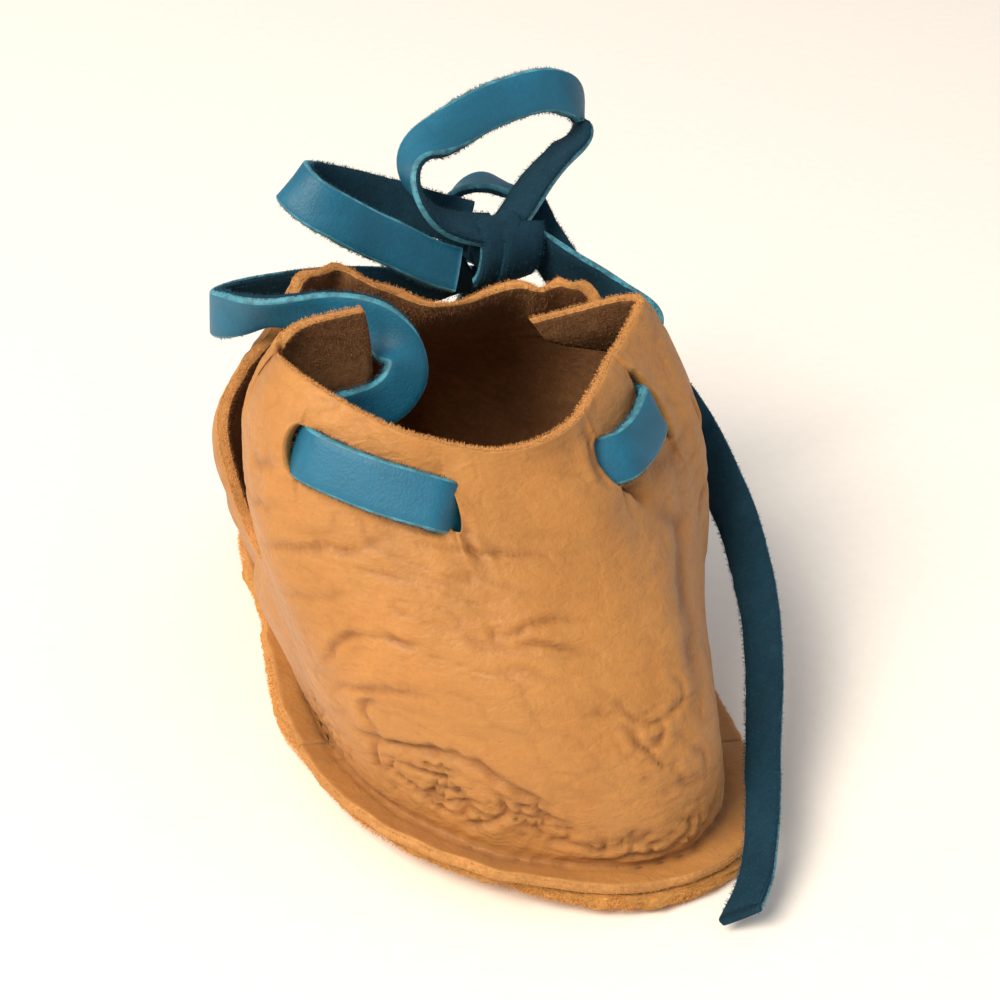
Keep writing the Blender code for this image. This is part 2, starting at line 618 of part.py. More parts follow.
def make_lace(parts, cutters, material):
    new_object("lace_collar", strip_mesh("lace_collar", *collar_route()), parts, material)
    knot_form("lace_knot", 0.0, parts).data.materials.append(material)
    space = knot_form("knot_space", GAP, cutters)      # ends every cord at the knot's face
    as_cutter(space)
    routes = {name: cord_route(name) for name in CORDS}
    routes["lace_end_left"] = end_left_route()
    for name, (middle, wide) in routes.items():
        item = new_object(name, strip_mesh(name, middle, wide), parts, material)
        add_boolean(item, space, "DIFFERENCE")


def main():
    for item in list(bpy.data.objects):
        bpy.data.objects.remove(item)
    parts = bpy.data.collections.new("baby_moccasin")
    cutters = bpy.data.collections.new("cutters")
    for group in (parts, cutters):
        bpy.context.scene.collection.children.link(group)
    materials = make_materials()
    make_sole(parts, materials["sole_leather"])
    make_upper(parts, cutters, materials["deerskin"])
    make_lace(parts, cutters, materials["lace_leather"])


main()
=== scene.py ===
"""Baby moccasin for the right foot: leather, lace, seams and stage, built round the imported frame.

Lengths in the tables are millimetres on the shoe's own axes: x to the wearer's right, y toward the toe
from the heel end of the sole, z up. Places on the upper are given as around, the distance round the foot
line from the middle of the heel, and up, the distance up the wall from that line.
"""
import math

import bpy
import numpy as np
from bpy.props import FloatProperty, FloatVectorProperty, PointerProperty
from mathutils import Matrix, Vector


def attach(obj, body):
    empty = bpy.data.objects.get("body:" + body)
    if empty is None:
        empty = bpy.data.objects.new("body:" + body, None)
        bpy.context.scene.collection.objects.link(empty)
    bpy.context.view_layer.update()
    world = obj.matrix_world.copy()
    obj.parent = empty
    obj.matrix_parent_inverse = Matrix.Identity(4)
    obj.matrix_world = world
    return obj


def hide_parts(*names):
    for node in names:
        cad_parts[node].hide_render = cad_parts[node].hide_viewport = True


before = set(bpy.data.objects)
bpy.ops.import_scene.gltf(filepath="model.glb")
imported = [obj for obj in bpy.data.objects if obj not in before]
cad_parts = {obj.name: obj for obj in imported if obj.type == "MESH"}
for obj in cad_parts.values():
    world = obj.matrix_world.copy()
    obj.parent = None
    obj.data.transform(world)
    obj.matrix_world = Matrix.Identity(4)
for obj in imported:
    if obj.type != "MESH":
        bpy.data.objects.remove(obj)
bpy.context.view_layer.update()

bl_info = {
    "name": "Baby Moccasin",
    "version": (1, 0, 0),
    "blender": (4, 5, 0),
    "location": "3D View > Sidebar > Moccasin",
    "description": "Makes the leather, lace, seams and stage of a baby moccasin",
    "category": "Object",
}

BODY = "root"
MM = 0.001
CENTRE = (-0.15, 59.8)      # table position of the frame's origin

# ---- the shoe's form, as the frame's solids have it ----------------------------------------------
SOLE_THICK = 2.6
GAP = 0.3
LAP = 1.1
LEATHER = 1.5
SECTION_COLUMNS = ("groove_x", "groove_y", "edge", "lift", "rim_x", "rim_y", "rim_z",
                   "low_out", "low_up", "top_out", "top_down")
SECTIONS = {
    "heel":    (3.0, 5.0, 3.8, 0.8, -7.0, 30.0, 54.0, 4.0, 24.0, 2.0, 12.0),
    "heel_r":  (15.0, 7.8, 4.6, 0.0, 3.5, 33.5, 54.5, 4.0, 24.0, 3.0, 12.0),
    "rear_r":  (22.0, 17.0, 5.4, 0.0, 11.5, 41.5, 56.0, -4.0, 20.0, 18.0, 24.0),
    "side_r":  (25.0, 32.0, 6.0, 0.0, 19.0, 49.5, 57.5, -9.0, 18.0, 27.0, 28.0),
    "seam_r":  (27.0, 50.0, 6.2, 0.0, 25.0, 57.5, 57.0, -5.0, 18.0, 18.0, 21.0),
    "notch_r": (28.2, 61.0, 5.6, 0.0, 26.5, 63.5, 51.0, 0.0, 18.0, 12.0, 14.0),
    "ball_r":  (28.5, 74.0, 5.0, 0.0, 23.5, 69.0, 54.5, 1.0, 20.0, 13.0, 14.0),
    "fore_r":  (26.5, 92.0, 4.4, 0.5, 19.0, 72.0, 55.0, 2.0, 24.0, 7.0, 11.0),
    "toe_r":   (16.0, 108.5, 4.0, 1.5, 12.0, 75.0, 54.0, -1.0, 26.0, 2.0, 7.0),
    "toe":     (2.5, 114.5, 4.0, 2.0, 1.0, 76.0, 53.0, -2.5, 28.0, 1.0, 5.0),
    "toe_l":   (-10.0, 108.5, 4.0, 1.5, -7.0, 80.0, 56.0, 3.0, 26.0, 6.0, 8.0),
    "fore_l":  (-16.0, 93.5, 4.2, 0.5, -14.0, 80.5, 58.0, 17.0, 22.0, 14.0, 17.0),
    "ball_l":  (-18.4, 77.0, 4.2, 0.5, -19.5, 76.5, 57.0, 15.0, 22.0, 5.5, 14.0),
    "notch_l": (-22.0, 63.5, 4.2, 0.7, -26.0, 69.0, 53.0, 9.0, 20.0, 13.0, 10.0),
    "seam_l":  (-24.4, 51.0, 4.2, 1.0, -27.5, 61.0, 55.5, 5.5, 20.0, 11.0, 12.0),
    "side_l":  (-24.6, 34.0, 4.4, 2.0, -28.5, 49.5, 59.0, 5.5, 20.0, 11.5, 13.0),
    "rear_l":  (-20.0, 19.5, 4.0, 3.0, -22.5, 38.0, 57.0, 4.0, 22.0, 5.0, 12.0),
    "heel_l":  (-9.0, 9.0, 3.8, 2.4, -15.0, 32.5, 55.0, 4.0, 24.0, 2.0, 12.0),
}
QUARTER_FRONT_R = ("seam_r", 6.0)
QUARTER_FRONT_L = ("seam_l", -6.0)
VAMP_BACK_R = ("seam_r", 1.0)
VAMP_BACK_L = ("seam_l", -1.0)
LAP_FADE = 9.0
# The flanges of quarter and vamp butt here; further forward the quarter's wings lie free on the vamp.
NOTCH_R = ("side_r", -7.0)
NOTCH_L = ("side_l", -8.0)
WING_EDGE = 1.6           # the wings' lower edge, above the foot line
# Part of the wall's height that the vamp has, by distance from its rear corners.
VAMP_TOP_R = ((-25.0, 0.25), (-5.0, 0.35), (0.0, 0.62), (10.5, 0.58), (17.0, 1.0))
VAMP_TOP_L = ((-12.0, 0.25), (0.0, 0.34), (5.0, 0.40), (13.0, 0.85), (24.0, 0.87), (27.0, 1.0))
TAB_COLUMNS = ("start", "shift_x", "shift_y", "shift_z", "from_height", "to_height", "power", "rise",
               "upright")
TABS = {
    "left":  (12.0, 12.0, -5.0, 7.0, 0.25, 0.70, 1.5, 0.6, 1.25),
    "right": (10.0, -17.0, -2.0, 2.8, 0.86, 0.95, 1.8, 0.6, 0.0),
}

# ---- relief of the leather -----------------------------------------------------------------------
GRID = 0.55               # spacing of the leather's points
QUARTER_GRID = 0.43       # closer on the quarter, which has the sharpest creases
SLITS = {"a": (-37.3, 0.83), "b": (-12.5, 0.81), "c": (15.5, 0.855), "d": (30.5, 0.905)}
SLIT_OPEN = 3.0           # widest opening of a slit that the lace holds apart
SLIT_TALL = 7.8

# Creases of the quarter: from one end over the middle to the other end, half width and depth; the depth also
# sets how dark the painted shade in each crease is.
CREASE_COLUMNS = ("from_around", "from_up", "over_around", "over_up", "to_around", "to_up", "wide", "deep")
CREASES = (
    # long soft wrinkles under the left lace
    (-49.0, 33.0, -35.0, 37.5, -24.5, 41.0, 0.9, 0.22),
    (-20.5, 42.0, -9.0, 44.0, 1.0, 43.5, 0.7, 0.26),
    (-44.0, 28.5, -37.0, 30.5, -31.0, 33.0, 0.8, 0.14),
    (-54.0, 38.0, -47.0, 39.0, -40.0, 41.0, 0.7, 0.16),
    (-17.0, 38.0, -10.0, 39.5, -2.0, 39.0, 0.8, 0.12),
    (-30.0, 36.0, -22.0, 37.5, -14.0, 37.0, 0.9, 0.10),
    # short deep wrinkles across the middle of the heel, dark with painted shade
    (-39.0, 21.0, -35.0, 25.5, -30.0, 27.0, 0.7, 0.34),
    (-30.0, 27.0, -27.0, 27.5, -23.0, 28.0, 0.7, 0.22),
    (-13.0, 32.0, -5.0, 35.0, 2.0, 35.5, 0.7, 0.30),
    (-9.5, 31.6, -4.0, 32.3, 2.0, 31.2, 0.7, 0.30),
    (-39.5, 16.0, -32.0, 20.3, -23.0, 21.0, 0.8, 0.26),
    (-14.0, 27.0, -8.0, 28.0, -3.0, 27.0, 0.8, 0.12),
    # branching veins on the right of the heel
    (0.5, 24.5, 2.5, 21.5, 5.5, 20.0, 0.6, 0.26),
    (5.5, 20.0, 5.0, 18.0, 3.0, 17.5, 0.6, 0.26),
    (0.0, 20.7, 2.5, 17.0, 5.5, 14.0, 0.6, 0.30),
    (5.5, 14.0, 6.5, 12.5, 8.5, 11.0, 0.6, 0.24),
    (5.5, 20.0, 8.5, 22.5, 9.5, 26.0, 0.6, 0.20),
    (-4.5, 23.0, -2.0, 22.8, 0.5, 22.4, 0.6, 0.18),
    (8.0, 17.0, 10.0, 14.0, 10.5, 11.0, 0.6, 0.16),
    # arc that bounds the crumpled patch, and the cracks that leave it
    (-37.0, 10.6, -29.0, 12.8, -22.0, 13.8, 0.9, 0.62),
    (-22.0, 13.8, -17.0, 12.6, -11.5, 9.4, 0.9, 0.60),
    (-32.5, 18.5, -34.2, 15.5, -33.5, 11.5, 0.6, 0.34),
    (-33.5, 11.5, -35.5, 8.5, -35.5, 4.5, 0.7, 0.44),
    (-17.5, 10.5, -13.5, 9.2, -9.0, 6.3, 0.6, 0.30),
    (-30.5, 8.4, -27.5, 9.6, -24.0, 10.2, 0.6, 0.44),
    (-18.0, 10.8, -17.4, 7.0, -22.5, 2.6, 0.7, 0.50),
    (-29.5, 6.0, -26.5, 4.0, -23.0, 3.6, 0.6, 0.36),
    # tucks close above the foot line
    (-11.0, 4.6, -6.5, 3.8, -2.0, 4.2, 0.7, 0.40),
    (-7.0, 2.0, -0.5, 1.6, 5.5, 2.2, 0.7, 0.52),
    (1.5, 1.6, 5.5, 3.6, 7.5, 6.6, 0.6, 0.42),
    (7.5, 1.8, 10.5, 3.6, 14.0, 7.0, 0.7, 0.42),
    (14.0, 1.6, 18.0, 3.4, 23.0, 5.0, 0.7, 0.36),
    (24.0, 1.8, 30.0, 3.2, 36.0, 3.0, 0.7, 0.30),
    (38.0, 4.5, 46.0, 5.5, 54.0, 4.0, 0.8, 0.30),
    (-52.0, 3.0, -47.0, 4.6, -41.0, 3.4, 0.7, 0.36),
    # slack folds of the wearer's right side and of the front corners
    (25.5, 38.0, 18.5, 31.0, 10.5, 20.0, 2.6, 0.34),
    (17.0, 48.5, 18.2, 46.5, 19.0, 43.5, 0.9, 0.90),
    (19.0, 43.5, 21.0, 40.0, 24.0, 37.0, 1.6, 0.22),
    (14.6, 58.0, 14.9, 54.5, 14.2, 51.0, 1.1, 0.45),
    (43.0, 46.0, 44.0, 41.0, 47.0, 37.0, 1.1, 0.45),
    (-12.0, 47.0, -10.5, 44.0, -10.0, 41.0, 1.2, 0.30),
    (-40.5, 47.5, -43.0, 45.0, -46.0, 43.5, 1.2, 0.45),
    (34.0, 24.0, 44.0, 26.0, 55.0, 24.0, 1.0, 0.22),
    (30.0, 14.0, 40.0, 16.5, 50.0, 15.0, 1.0, 0.20),
    (28.0, 33.0, 36.0, 35.0, 44.0, 33.0, 0.8, 0.18),
)
# Creases of the vamp, in the same columns: flexing folds across the instep and slack at the sides.
VAMP_CREASES = (
    (88.0, 40.0, 104.0, 44.0, 120.0, 43.0, 1.2, 0.30),
    (112.0, 38.0, 132.0, 40.0, 152.0, 37.0, 1.4, 0.34),
    (128.0, 47.0, 146.0, 49.0, 164.0, 47.0, 1.2, 0.30),
    (146.0, 33.0, 163.0, 36.0, 180.0, 33.0, 1.2, 0.28),
    (160.0, 44.0, 175.0, 45.0, 190.0, 42.0, 1.1, 0.28),
    (70.0, 26.0, 84.0, 28.0, 98.0, 25.0, 1.1, 0.22),
    (66.0, 46.0, 72.0, 38.0, 74.0, 28.0, 1.5, 0.36),
    (194.0, 48.0, 192.0, 38.0, 194.0, 28.0, 1.5, 0.36),
    (178.0, 22.0, 188.0, 24.0, 198.0, 21.0, 1.0, 0.22),
    (120.0, 24.0, 134.0, 26.0, 148.0, 23.0, 1.2, 0.20),
)
# Soft hollows of the quarter: centre, half lengths and depth; a negative depth is a bulge.
HOLLOW_COLUMNS = ("around", "up", "half_around", "half_up", "deep")
HOLLOWS = (
    (-25.0, 7.0, 10.0, 4.6, 0.75),
    (-12.0, 4.5, 5.0, 3.0, 0.35),
    (9.0, 50.0, 5.0, 6.0, -0.9),
    (17.5, 46.0, 3.0, 5.0, 0.6),
    (27.0, 57.5, 7.0, 3.0, -0.8),
    (-26.0, 54.0, 9.0, 3.0, -0.3),
    (-46.0, 46.0, 5.0, 6.0, 0.35),
    (4.0, 17.0, 12.0, 8.0, -0.5),
    (-10.0, 22.0, 12.0, 10.0, -0.4),
)
# Crumpled patches: centre, half lengths, size of the lumps and height of the relief.
CRUMPLE_COLUMNS = ("around", "up", "half_around", "half_up", "lump", "tall")
CRUMPLES = (
    (-26.0, 7.2, 9.5, 4.8, 2.6, 0.62),
    (-13.0, 6.2, 6.5, 4.4, 1.8, 0.34),
    (-2.0, 4.0, 7.0, 2.8, 1.9, 0.30),
    (8.0, 5.0, 5.0, 4.0, 2.2, 0.28),
    (4.0, 19.5, 7.0, 7.0, 2.9, 0.16),
    (48.0, 6.0, 9.0, 5.0, 2.6, 0.30),
    (-48.0, 5.0, 8.0, 4.0, 2.4, 0.34),
)

# ---- lace ----------------------------------------------------------------------------------------
LACE_WIDE = 6.6
LACE_THICK = 1.6
THROUGH = 4.2
OFF_OUTSIDE = 0.5 * LACE_THICK + 0.25
OFF_INSIDE = -LEATHER - OFF_OUTSIDE - 0.5
LACE_TAIL = 6.0
KNOT = (15.5, 83.5, 55.8)
KNOT_SIZE = (14.0, 8.0, 10.5)
# Columns: x, y, z, wide x, wide y, wide z.
CORDS = {
    "lace_run_left": (
        (-25.3, 50.5, 50.0, 0.0, 0.0, 1.0),
        (-22.0, 53.5, 49.0, 0.0, 0.0, 1.0),
        (-17.0, 55.8, 48.0, -0.2, 0.1, 1.0),
        (-11.3, 57.4, 49.0, -0.6, 0.2, 0.8),
        (-8.9, 59.2, 52.0, -0.7, 0.2, 0.6),
        (-9.6, 62.0, 54.2, -0.9, 0.2, -0.3),
        (-11.5, 64.5, 56.3, -0.4, 0.2, -0.9),
        (-15.5, 67.0, 56.9, 0.0, 0.0, -1.0),
        (-20.5, 69.5, 56.8, 0.2, 0.3, -0.9),
        (-25.5, 72.5, 56.2, 0.3, 0.4, -0.8),
        (-28.8, 77.0, 54.2, 0.1, -0.2, -1.0),
        (-28.4, 82.3, 52.2, -0.1, -0.2, -1.0),
        (-24.5, 86.8, 51.0, -0.2, 0.0, -1.0),
        (-17.5, 89.2, 50.2, -0.2, 0.0, -1.0),
        (-10.0, 89.8, 49.8, -0.1, -0.1, -1.0),
        (-3.0, 88.4, 49.8, 0.1, 0.0, -1.0),
        (2.5, 86.2, 50.2, 0.3, 0.0, -0.9),
        (7.5, 84.6, 51.8, 0.4, 0.0, -0.9),
        (10.5, 83.3, 53.4, 0.3, 0.0, -0.9),
    ),
    "lace_run_right": (
        (20.5, 52.2, 42.0, -0.5, 0.1, 0.85),
        (20.2, 55.5, 41.8, -0.4, 0.0, 0.9),
        (23.4, 59.8, 41.4, -0.2, 0.0, 0.95),
        (28.9, 62.6, 44.6, 0.0, -0.1, 0.95),
        (32.7, 65.8, 48.0, 0.0, -0.3, 0.95),
        (32.6, 69.6, 48.8, 0.1, -0.4, 0.9),
        (31.0, 73.4, 49.6, 0.15, -0.5, 0.8),
        (28.6, 76.8, 51.2, 0.1, -0.5, 0.8),
        (24.8, 79.3, 53.4, 0.1, -0.5, 0.8),
        (22.0, 81.8, 55.0, 0.1, -0.4, 0.8),
        (19.0, 83.5, 56.4, 0.2, -0.2, 0.9),
    ),
    "bow_loop_big": (
        (14.6, 83.5, 58.8, 0.4, 0.85, 0.2),
        (8.8, 83.0, 60.1, 0.4, 0.85, 0.1),
        (5.0, 83.4, 61.9, 0.4, 0.85, -0.1),
        (2.9, 84.8, 64.6, 0.4, 0.8, -0.4),
        (2.4, 87.0, 67.2, 0.1, 0.8, -0.5),
        (4.2, 89.5, 69.5, -0.3, 0.6, -0.1),
        (9.2, 92.0, 71.2, -0.3, 0.5, 0.4),
        (16.0, 94.5, 73.0, -0.2, 0.4, 0.8),
        (23.0, 96.5, 74.0, -0.1, 0.4, 0.85),
        (28.8, 97.6, 74.0, 0.0, 0.4, 0.9),
        (31.8, 98.3, 72.9, 0.15, 0.5, 0.85),
        (34.0, 99.4, 71.4, 0.3, 0.65, 0.7),
        (35.3, 100.3, 69.4, 0.45, 0.8, 0.25),
        (35.4, 99.9, 67.2, 0.35, 0.9, -0.1),
        (33.6, 97.7, 65.6, 0.0, 0.9, -0.2),
        (29.6, 95.0, 64.1, -0.3, 0.85, -0.3),
        (24.7, 91.7, 62.1, -0.4, 0.85, -0.3),
        (20.3, 88.0, 59.8, -0.4, 0.85, -0.3),
        (15.9, 84.5, 57.7, -0.3, 0.85, -0.2),
    ),
    "bow_loop_left": (
        (7.5, 81.0, 54.5, 0.4, 0.4, 0.8),
        (3.5, 80.8, 56.2, 0.4, 0.4, 0.8),
        (-1.5, 80.8, 59.2, 0.5, 0.3, 0.8),
        (-6.5, 81.0, 62.0, 0.5, 0.3, 0.8),
        (-11.0, 81.5, 64.8, 0.6, 0.3, 0.8),
        (-14.5, 83.5, 67.0, 0.6, 0.1, 0.8),
        (-15.5, 86.5, 68.0, 0.7, 0.1, 0.7),
        (-12.5, 89.5, 66.7, 0.6, 0.3, 0.8),
        (-8.0, 91.5, 64.7, 0.3, 0.4, 0.8),
        (-3.0, 92.5, 62.7, 0.3, 0.4, 0.9),
        (3.0, 92.3, 60.6, 0.3, 0.4, 0.8),
        (8.5, 90.5, 58.9, 0.3, 0.4, 0.8),
        (12.5, 88.2, 58.2, 0.2, 0.4, 0.9),
    ),
    "lace_end_right": (
        (16.0, 87.2, 54.4, 0.4, 0.5, 0.3),
        (13.4, 92.2, 53.8, 0.5, 0.6, 0.2),
        (11.8, 95.9, 56.0, 0.6, 0.7, -0.1),
        (13.4, 97.0, 58.7, 0.5, 0.8, -0.3),
        (16.3, 97.3, 60.0, 0.4, 0.9, -0.2),
        (19.4, 97.9, 59.9, 0.4, 0.9, -0.1),
        (22.4, 98.3, 58.9, 0.3, 0.9, -0.2),
        (24.9, 97.3, 57.6, -0.1, 0.8, -0.5),
        (25.2, 94.6, 56.3, -0.5, 0.5, -0.6),
        (25.3, 91.9, 54.4, -0.8, 0.1, -0.5),
        (26.2, 89.2, 52.3, -0.8, 0.1, -0.56),
        (27.2, 86.7, 50.2, -0.8, 0.1, -0.56),
        (28.8, 84.0, 47.4, -0.8, 0.2, -0.56),
        (30.7, 81.0, 45.0, -0.7, 0.3, -0.6),
        (33.1, 78.5, 42.4, -0.7, 0.4, -0.6),
        (35.3, 75.5, 39.9, -0.6, 0.4, -0.6),
        (37.3, 72.0, 37.5, -0.6, 0.4, -0.6),
        (38.9, 67.0, 34.8, -0.6, 0.5, -0.6),
        (39.7, 61.0, 31.9, -0.6, 0.6, -0.5),
        (39.7, 54.5, 28.9, -0.6, 0.6, -0.5),
        (39.4, 48.0, 25.7, -0.6, 0.6, -0.4),
        (38.3, 42.0, 23.0, -0.5, 0.7, -0.35),
        (36.8, 36.5, 20.7, -0.5, 0.75, -0.25),
        (34.3, 29.5, 17.6, -0.4, 0.85, -0.2),
        (29.4, 19.5, 12.9, -0.35, 0.9, -0.2),
        (25.8, 13.0, 10.2, -0.3, 0.9, -0.2),
        (22.1, 6.2, 8.3, -0.2, 0.95, -0.2),
        (19.4, 1.7, 6.8, -0.3, 0.9, -0.3),
        (16.7, -2.2, 4.8, -0.5, 0.7, -0.4),
        (12.2, -6.4, 3.4, -0.7, 0.4, -0.4),
    ),
}
# Columns: around, height, off.
END_LEFT = (
    (118.2, 0.730, 7.0),
    (118.7, 0.700, 4.6),
    (119.5, 0.630, 2.8),
    (122.0, 0.560, 1.7),
    (125.0, 0.480, 1.5),
    (128.5, 0.400, 1.5),
    (132.0, 0.320, 1.5),
    (135.5, 0.250, 1.5),
    (138.5, 0.190, 1.5),
)
# Each free stretch: the side of the strip that carries the grain, how it lies, what is on its far end.
# Columns: grain side, lay, far end.
STRETCHES = {
    "lace_run_left": (1, "hanging", "knot"),
    "lace_run_right": (1, "hanging", "knot"),
    "bow_loop_big": (1, "loose", "knot"),
    "bow_loop_left": (-1, "loose", "knot"),
    "lace_end_right": (1, "hanging", "bare"),
    "lace_end_left": (1, "loose", "bare"),
}


# ---- small mathematics ---------------------------------------------------------------------------
def spline(knots, values, at, period=None):
    """Natural cubic through the knots, or a closed one when a period is given."""
    knots, values, at = (np.asarray(v, float) for v in (knots, values, at))
    count = len(knots)
    if period:
        steps = np.diff(np.append(knots, knots[0] + period))
        at = (at - knots[0]) % period + knots[0]
    else:
        steps = np.diff(knots)
    matrix, right = np.eye(count), np.zeros(count)
    for i in range(count) if period else range(1, count - 1):
        after, before = (i + 1) % count, i - 1
        matrix[i] = 0.0
        matrix[i, before] += steps[before]
        matrix[i, i] += 2 * (steps[before] + steps[i])
        matrix[i, after] += steps[i]
        right[i] = 6 * ((values[after] - values[i]) / steps[i]
                        - (values[i] - values[before]) / steps[before])
    bend = np.linalg.solve(matrix, right)
    i = np.clip(np.searchsorted(knots, at, side="right") - 1, 0, len(steps) - 1)
    after = (i + 1) % count
    a = at - knots[i]
    b = steps[i] - a
    return (bend[i] * b ** 3 / (6 * steps[i]) + bend[after] * a ** 3 / (6 * steps[i])
            + (values[i] / steps[i] - bend[i] * steps[i] / 6) * b
            + (values[after] / steps[i] - bend[after] * steps[i] / 6) * a)


def ease(x):
    """Smooth step from 0 to 1."""
    x = np.clip(x, 0.0, 1.0)
    return x * x * (3 - 2 * x)


def unit(v):
    return v / np.maximum(np.linalg.norm(v, axis=-1, keepdims=True), 1e-9)


def bell(distance, half):
    return np.exp(-(distance / half) ** 2)


def to_frame(points):
    """Table millimetres to metres in the frame."""
    points = np.array(points, float)
    points[..., 0] -= CENTRE[0]
    points[..., 1] -= CENTRE[1]
    return points * MM


def waver(x, y, size, seed):
    """Smooth noise between -1 and 1 over two lengths, with waves of the given size."""
    table = np.random.default_rng(seed).uniform(-1, 1, (61, 61))
    u, v = x / size + 500.0, y / size + 500.0
    i, j = np.floor(u).astype(int), np.floor(v).astype(int)
    fu, fv = ease(u - i), ease(v - j)
    near = table[i % 61, j % 61] * (1 - fu) + table[(i + 1) % 61, j % 61] * fu
    far = table[i % 61, (j + 1) % 61] * (1 - fu) + table[(i + 1) % 61, (j + 1) % 61] * fu
    return near * (1 - fv) + far * fv


def lumps(x, y, size, seed):
    """Rounded lumps parted by cracks: 0 on a crack, 1 in the middle of a lump."""
    rng = np.random.default_rng(seed)
    jitter = rng.uniform(0.0, 1.0, (61, 61, 2))
    u, v = x / size + 500.0, y / size + 500.0
    i, j = np.floor(u).astype(int), np.floor(v).astype(int)
    first, second = np.full(u.shape, 9.0), np.full(u.shape, 9.0)
    for di in (-1, 0, 1):
        for dj in (-1, 0, 1):
            spot = jitter[(i + di) % 61, (j + dj) % 61]
            away = np.hypot(i + di + spot[..., 0] - u, j + dj + spot[..., 1] - v)
            second = np.minimum(second, np.maximum(first, away))
            first = np.minimum(first, away)
    return ease((second - first) * 1.6)


# ---- the form of the upper -----------------------------------------------------------------------
class Form:
    """The outer surface of the upper, for any distance round the foot line and part of the height."""

    def __init__(self):
        self.rows = np.array(list(SECTIONS.values()))
        grooves = self.rows[:, :2]
        steps = np.linalg.norm(np.roll(grooves, -1, 0) - grooves, axis=1)
        self.knots = np.concatenate([[0.0], np.cumsum(steps)[:-1]])
        self.round = steps.sum()

    def place(self, mark):
        name, beyond = mark
        return self.knots[list(SECTIONS).index(name)] + beyond

    def column(self, name, around):
        return spline(self.knots, self.rows[:, SECTION_COLUMNS.index(name)], around, self.round)

    def outward(self, around):
        step = 0.01
        run_x = self.column("groove_x", around + step) - self.column("groove_x", around - step)
        run_y = self.column("groove_y", around + step) - self.column("groove_y", around - step)
        return unit(np.stack([run_y, -run_x, 0 * run_x], -1))

    def flange(self, around):
        """Points on top of the flange at the foot line and at the edge, and the outward direction."""
        out = self.outward(around)
        lift = self.column("lift", around)
        top = SOLE_THICK + GAP + LEATHER
        groove = np.stack([self.column("groove_x", around), self.column("groove_y", around),
                           top + 0.6 * lift], -1)
        edge = groove + out * self.column("edge", around)[..., None]
        edge[..., 2] = top + lift
        return groove, edge, out

    def wall(self, around, height):
        """Wall points; height runs from 0 at the foot line to 1 at the rim."""
        groove, _, out = self.flange(around)
        rim = np.stack([self.column(c, around) for c in ("rim_x", "rim_y", "rim_z")], -1)
        low = groove + out * self.column("low_out", around)[..., None]
        low[..., 2] += self.column("low_up", around)
        top = rim + out * self.column("top_out", around)[..., None]
        top[..., 2] -= self.column("top_down", around)
        t = height[..., None]
        return ((1 - t) ** 3 * groove + 3 * (1 - t) ** 2 * t * low + 3 * (1 - t) * t * t * top
                + t ** 3 * rim)


FORM = Form()


def tab_shift(around, height):
    """How far the quarter's front tabs fold in from the shoe's own surface."""
    shift = 0.0
    upright = (FORM.wall(around, np.ones_like(height)) - FORM.wall(around, height)) * (1.0, 1.0, 0.0)
    for side, front in (("left", QUARTER_FRONT_L), ("right", QUARTER_FRONT_R)):
        tab = dict(zip(TAB_COLUMNS, TABS[side]))
        end = FORM.place(front)
        beyond = np.where(around < 0, around + FORM.round, around) - end
        reach = tab["start"] - beyond if side == "left" else tab["start"] + beyond
        reach = np.where(np.abs(beyond) < 30.0, np.clip(reach / tab["start"], 0.0, 1.3), 0.0)[..., None]
        bend = ease((height - tab["from_height"]) / (tab["to_height"] - tab["from_height"]))[..., None]
        in_plan = np.array([tab["shift_x"], tab["shift_y"], 0.0])
        upward = np.array([0.0, 0.0, tab["shift_z"]])
        move = reach ** tab["power"] * (in_plan + tab["upright"] * upright)
        shift = shift + bend * (move + reach ** tab["rise"] * upward)
    return shift


def quarter_wall(around, height):
    return FORM.wall(around, height) + tab_shift(around, height)


def vamp_wall(around, height):
    """The vamp is low under the quarter's wings and rises from there to its standing throat."""
    run_r, top_r = np.array(VAMP_TOP_R).T
    run_l, top_l = np.array(VAMP_TOP_L).T
    top = np.minimum(np.interp(around - FORM.place(VAMP_BACK_R), run_r, top_r),
                     np.interp(FORM.place(VAMP_BACK_L) - around, run_l, top_l))
    return FORM.wall(around, top * height)


def quarter_off(around, up):
    """Stand-off of the quarter: its wings lie on the vamp, the flange stays down."""
    inside = np.minimum(around - FORM.place(VAMP_BACK_L) + FORM.round, FORM.place(VAMP_BACK_R) - around)
    ahead = np.maximum(FORM.place(NOTCH_L) - FORM.round - around, around - FORM.place(NOTCH_R))
    off = np.maximum(LAP * (1 - ease(inside / LAP_FADE)), 0.5 * ease(ahead / 6.0))
    return off * ease((up + 0.5) / 3.0)


def vamp_off(around, up):
    """Stand-off of the vamp: down under the quarter's wings, on the shoe's own line in front of them."""
    front = np.minimum(around - FORM.place(QUARTER_FRONT_R), FORM.place(QUARTER_FRONT_L) - around)
    wrapped = np.where(around > 0.5 * FORM.round, around - FORM.round, around)
    under = LEATHER + 0.45 - quarter_off(wrapped, 9.0 + 0 * up)
    return -under * (1 - ease(front / LAP_FADE)) * ease((up + 0.3) / 2.2)


# ---- relief --------------------------------------------------------------------------------------
def along_crease(around, up, row):
    """Distance to a crease and the part of its length, for places given as around and up."""
    ends = np.array(row[:6]).reshape(3, 2)
    bow = 2 * ends[1] - 0.5 * (ends[0] + ends[2])
    best, part = np.full(around.shape, 1e3), np.zeros(around.shape)
    for t in np.linspace(0.0, 1.0, 25):
        spot = (1 - t) ** 2 * ends[0] + 2 * (1 - t) * t * bow + t * t * ends[2]
        away = np.hypot(around - spot[0], up - spot[1])
        part = np.where(away < best, t, part)
        best = np.minimum(best, away)
    return best, part


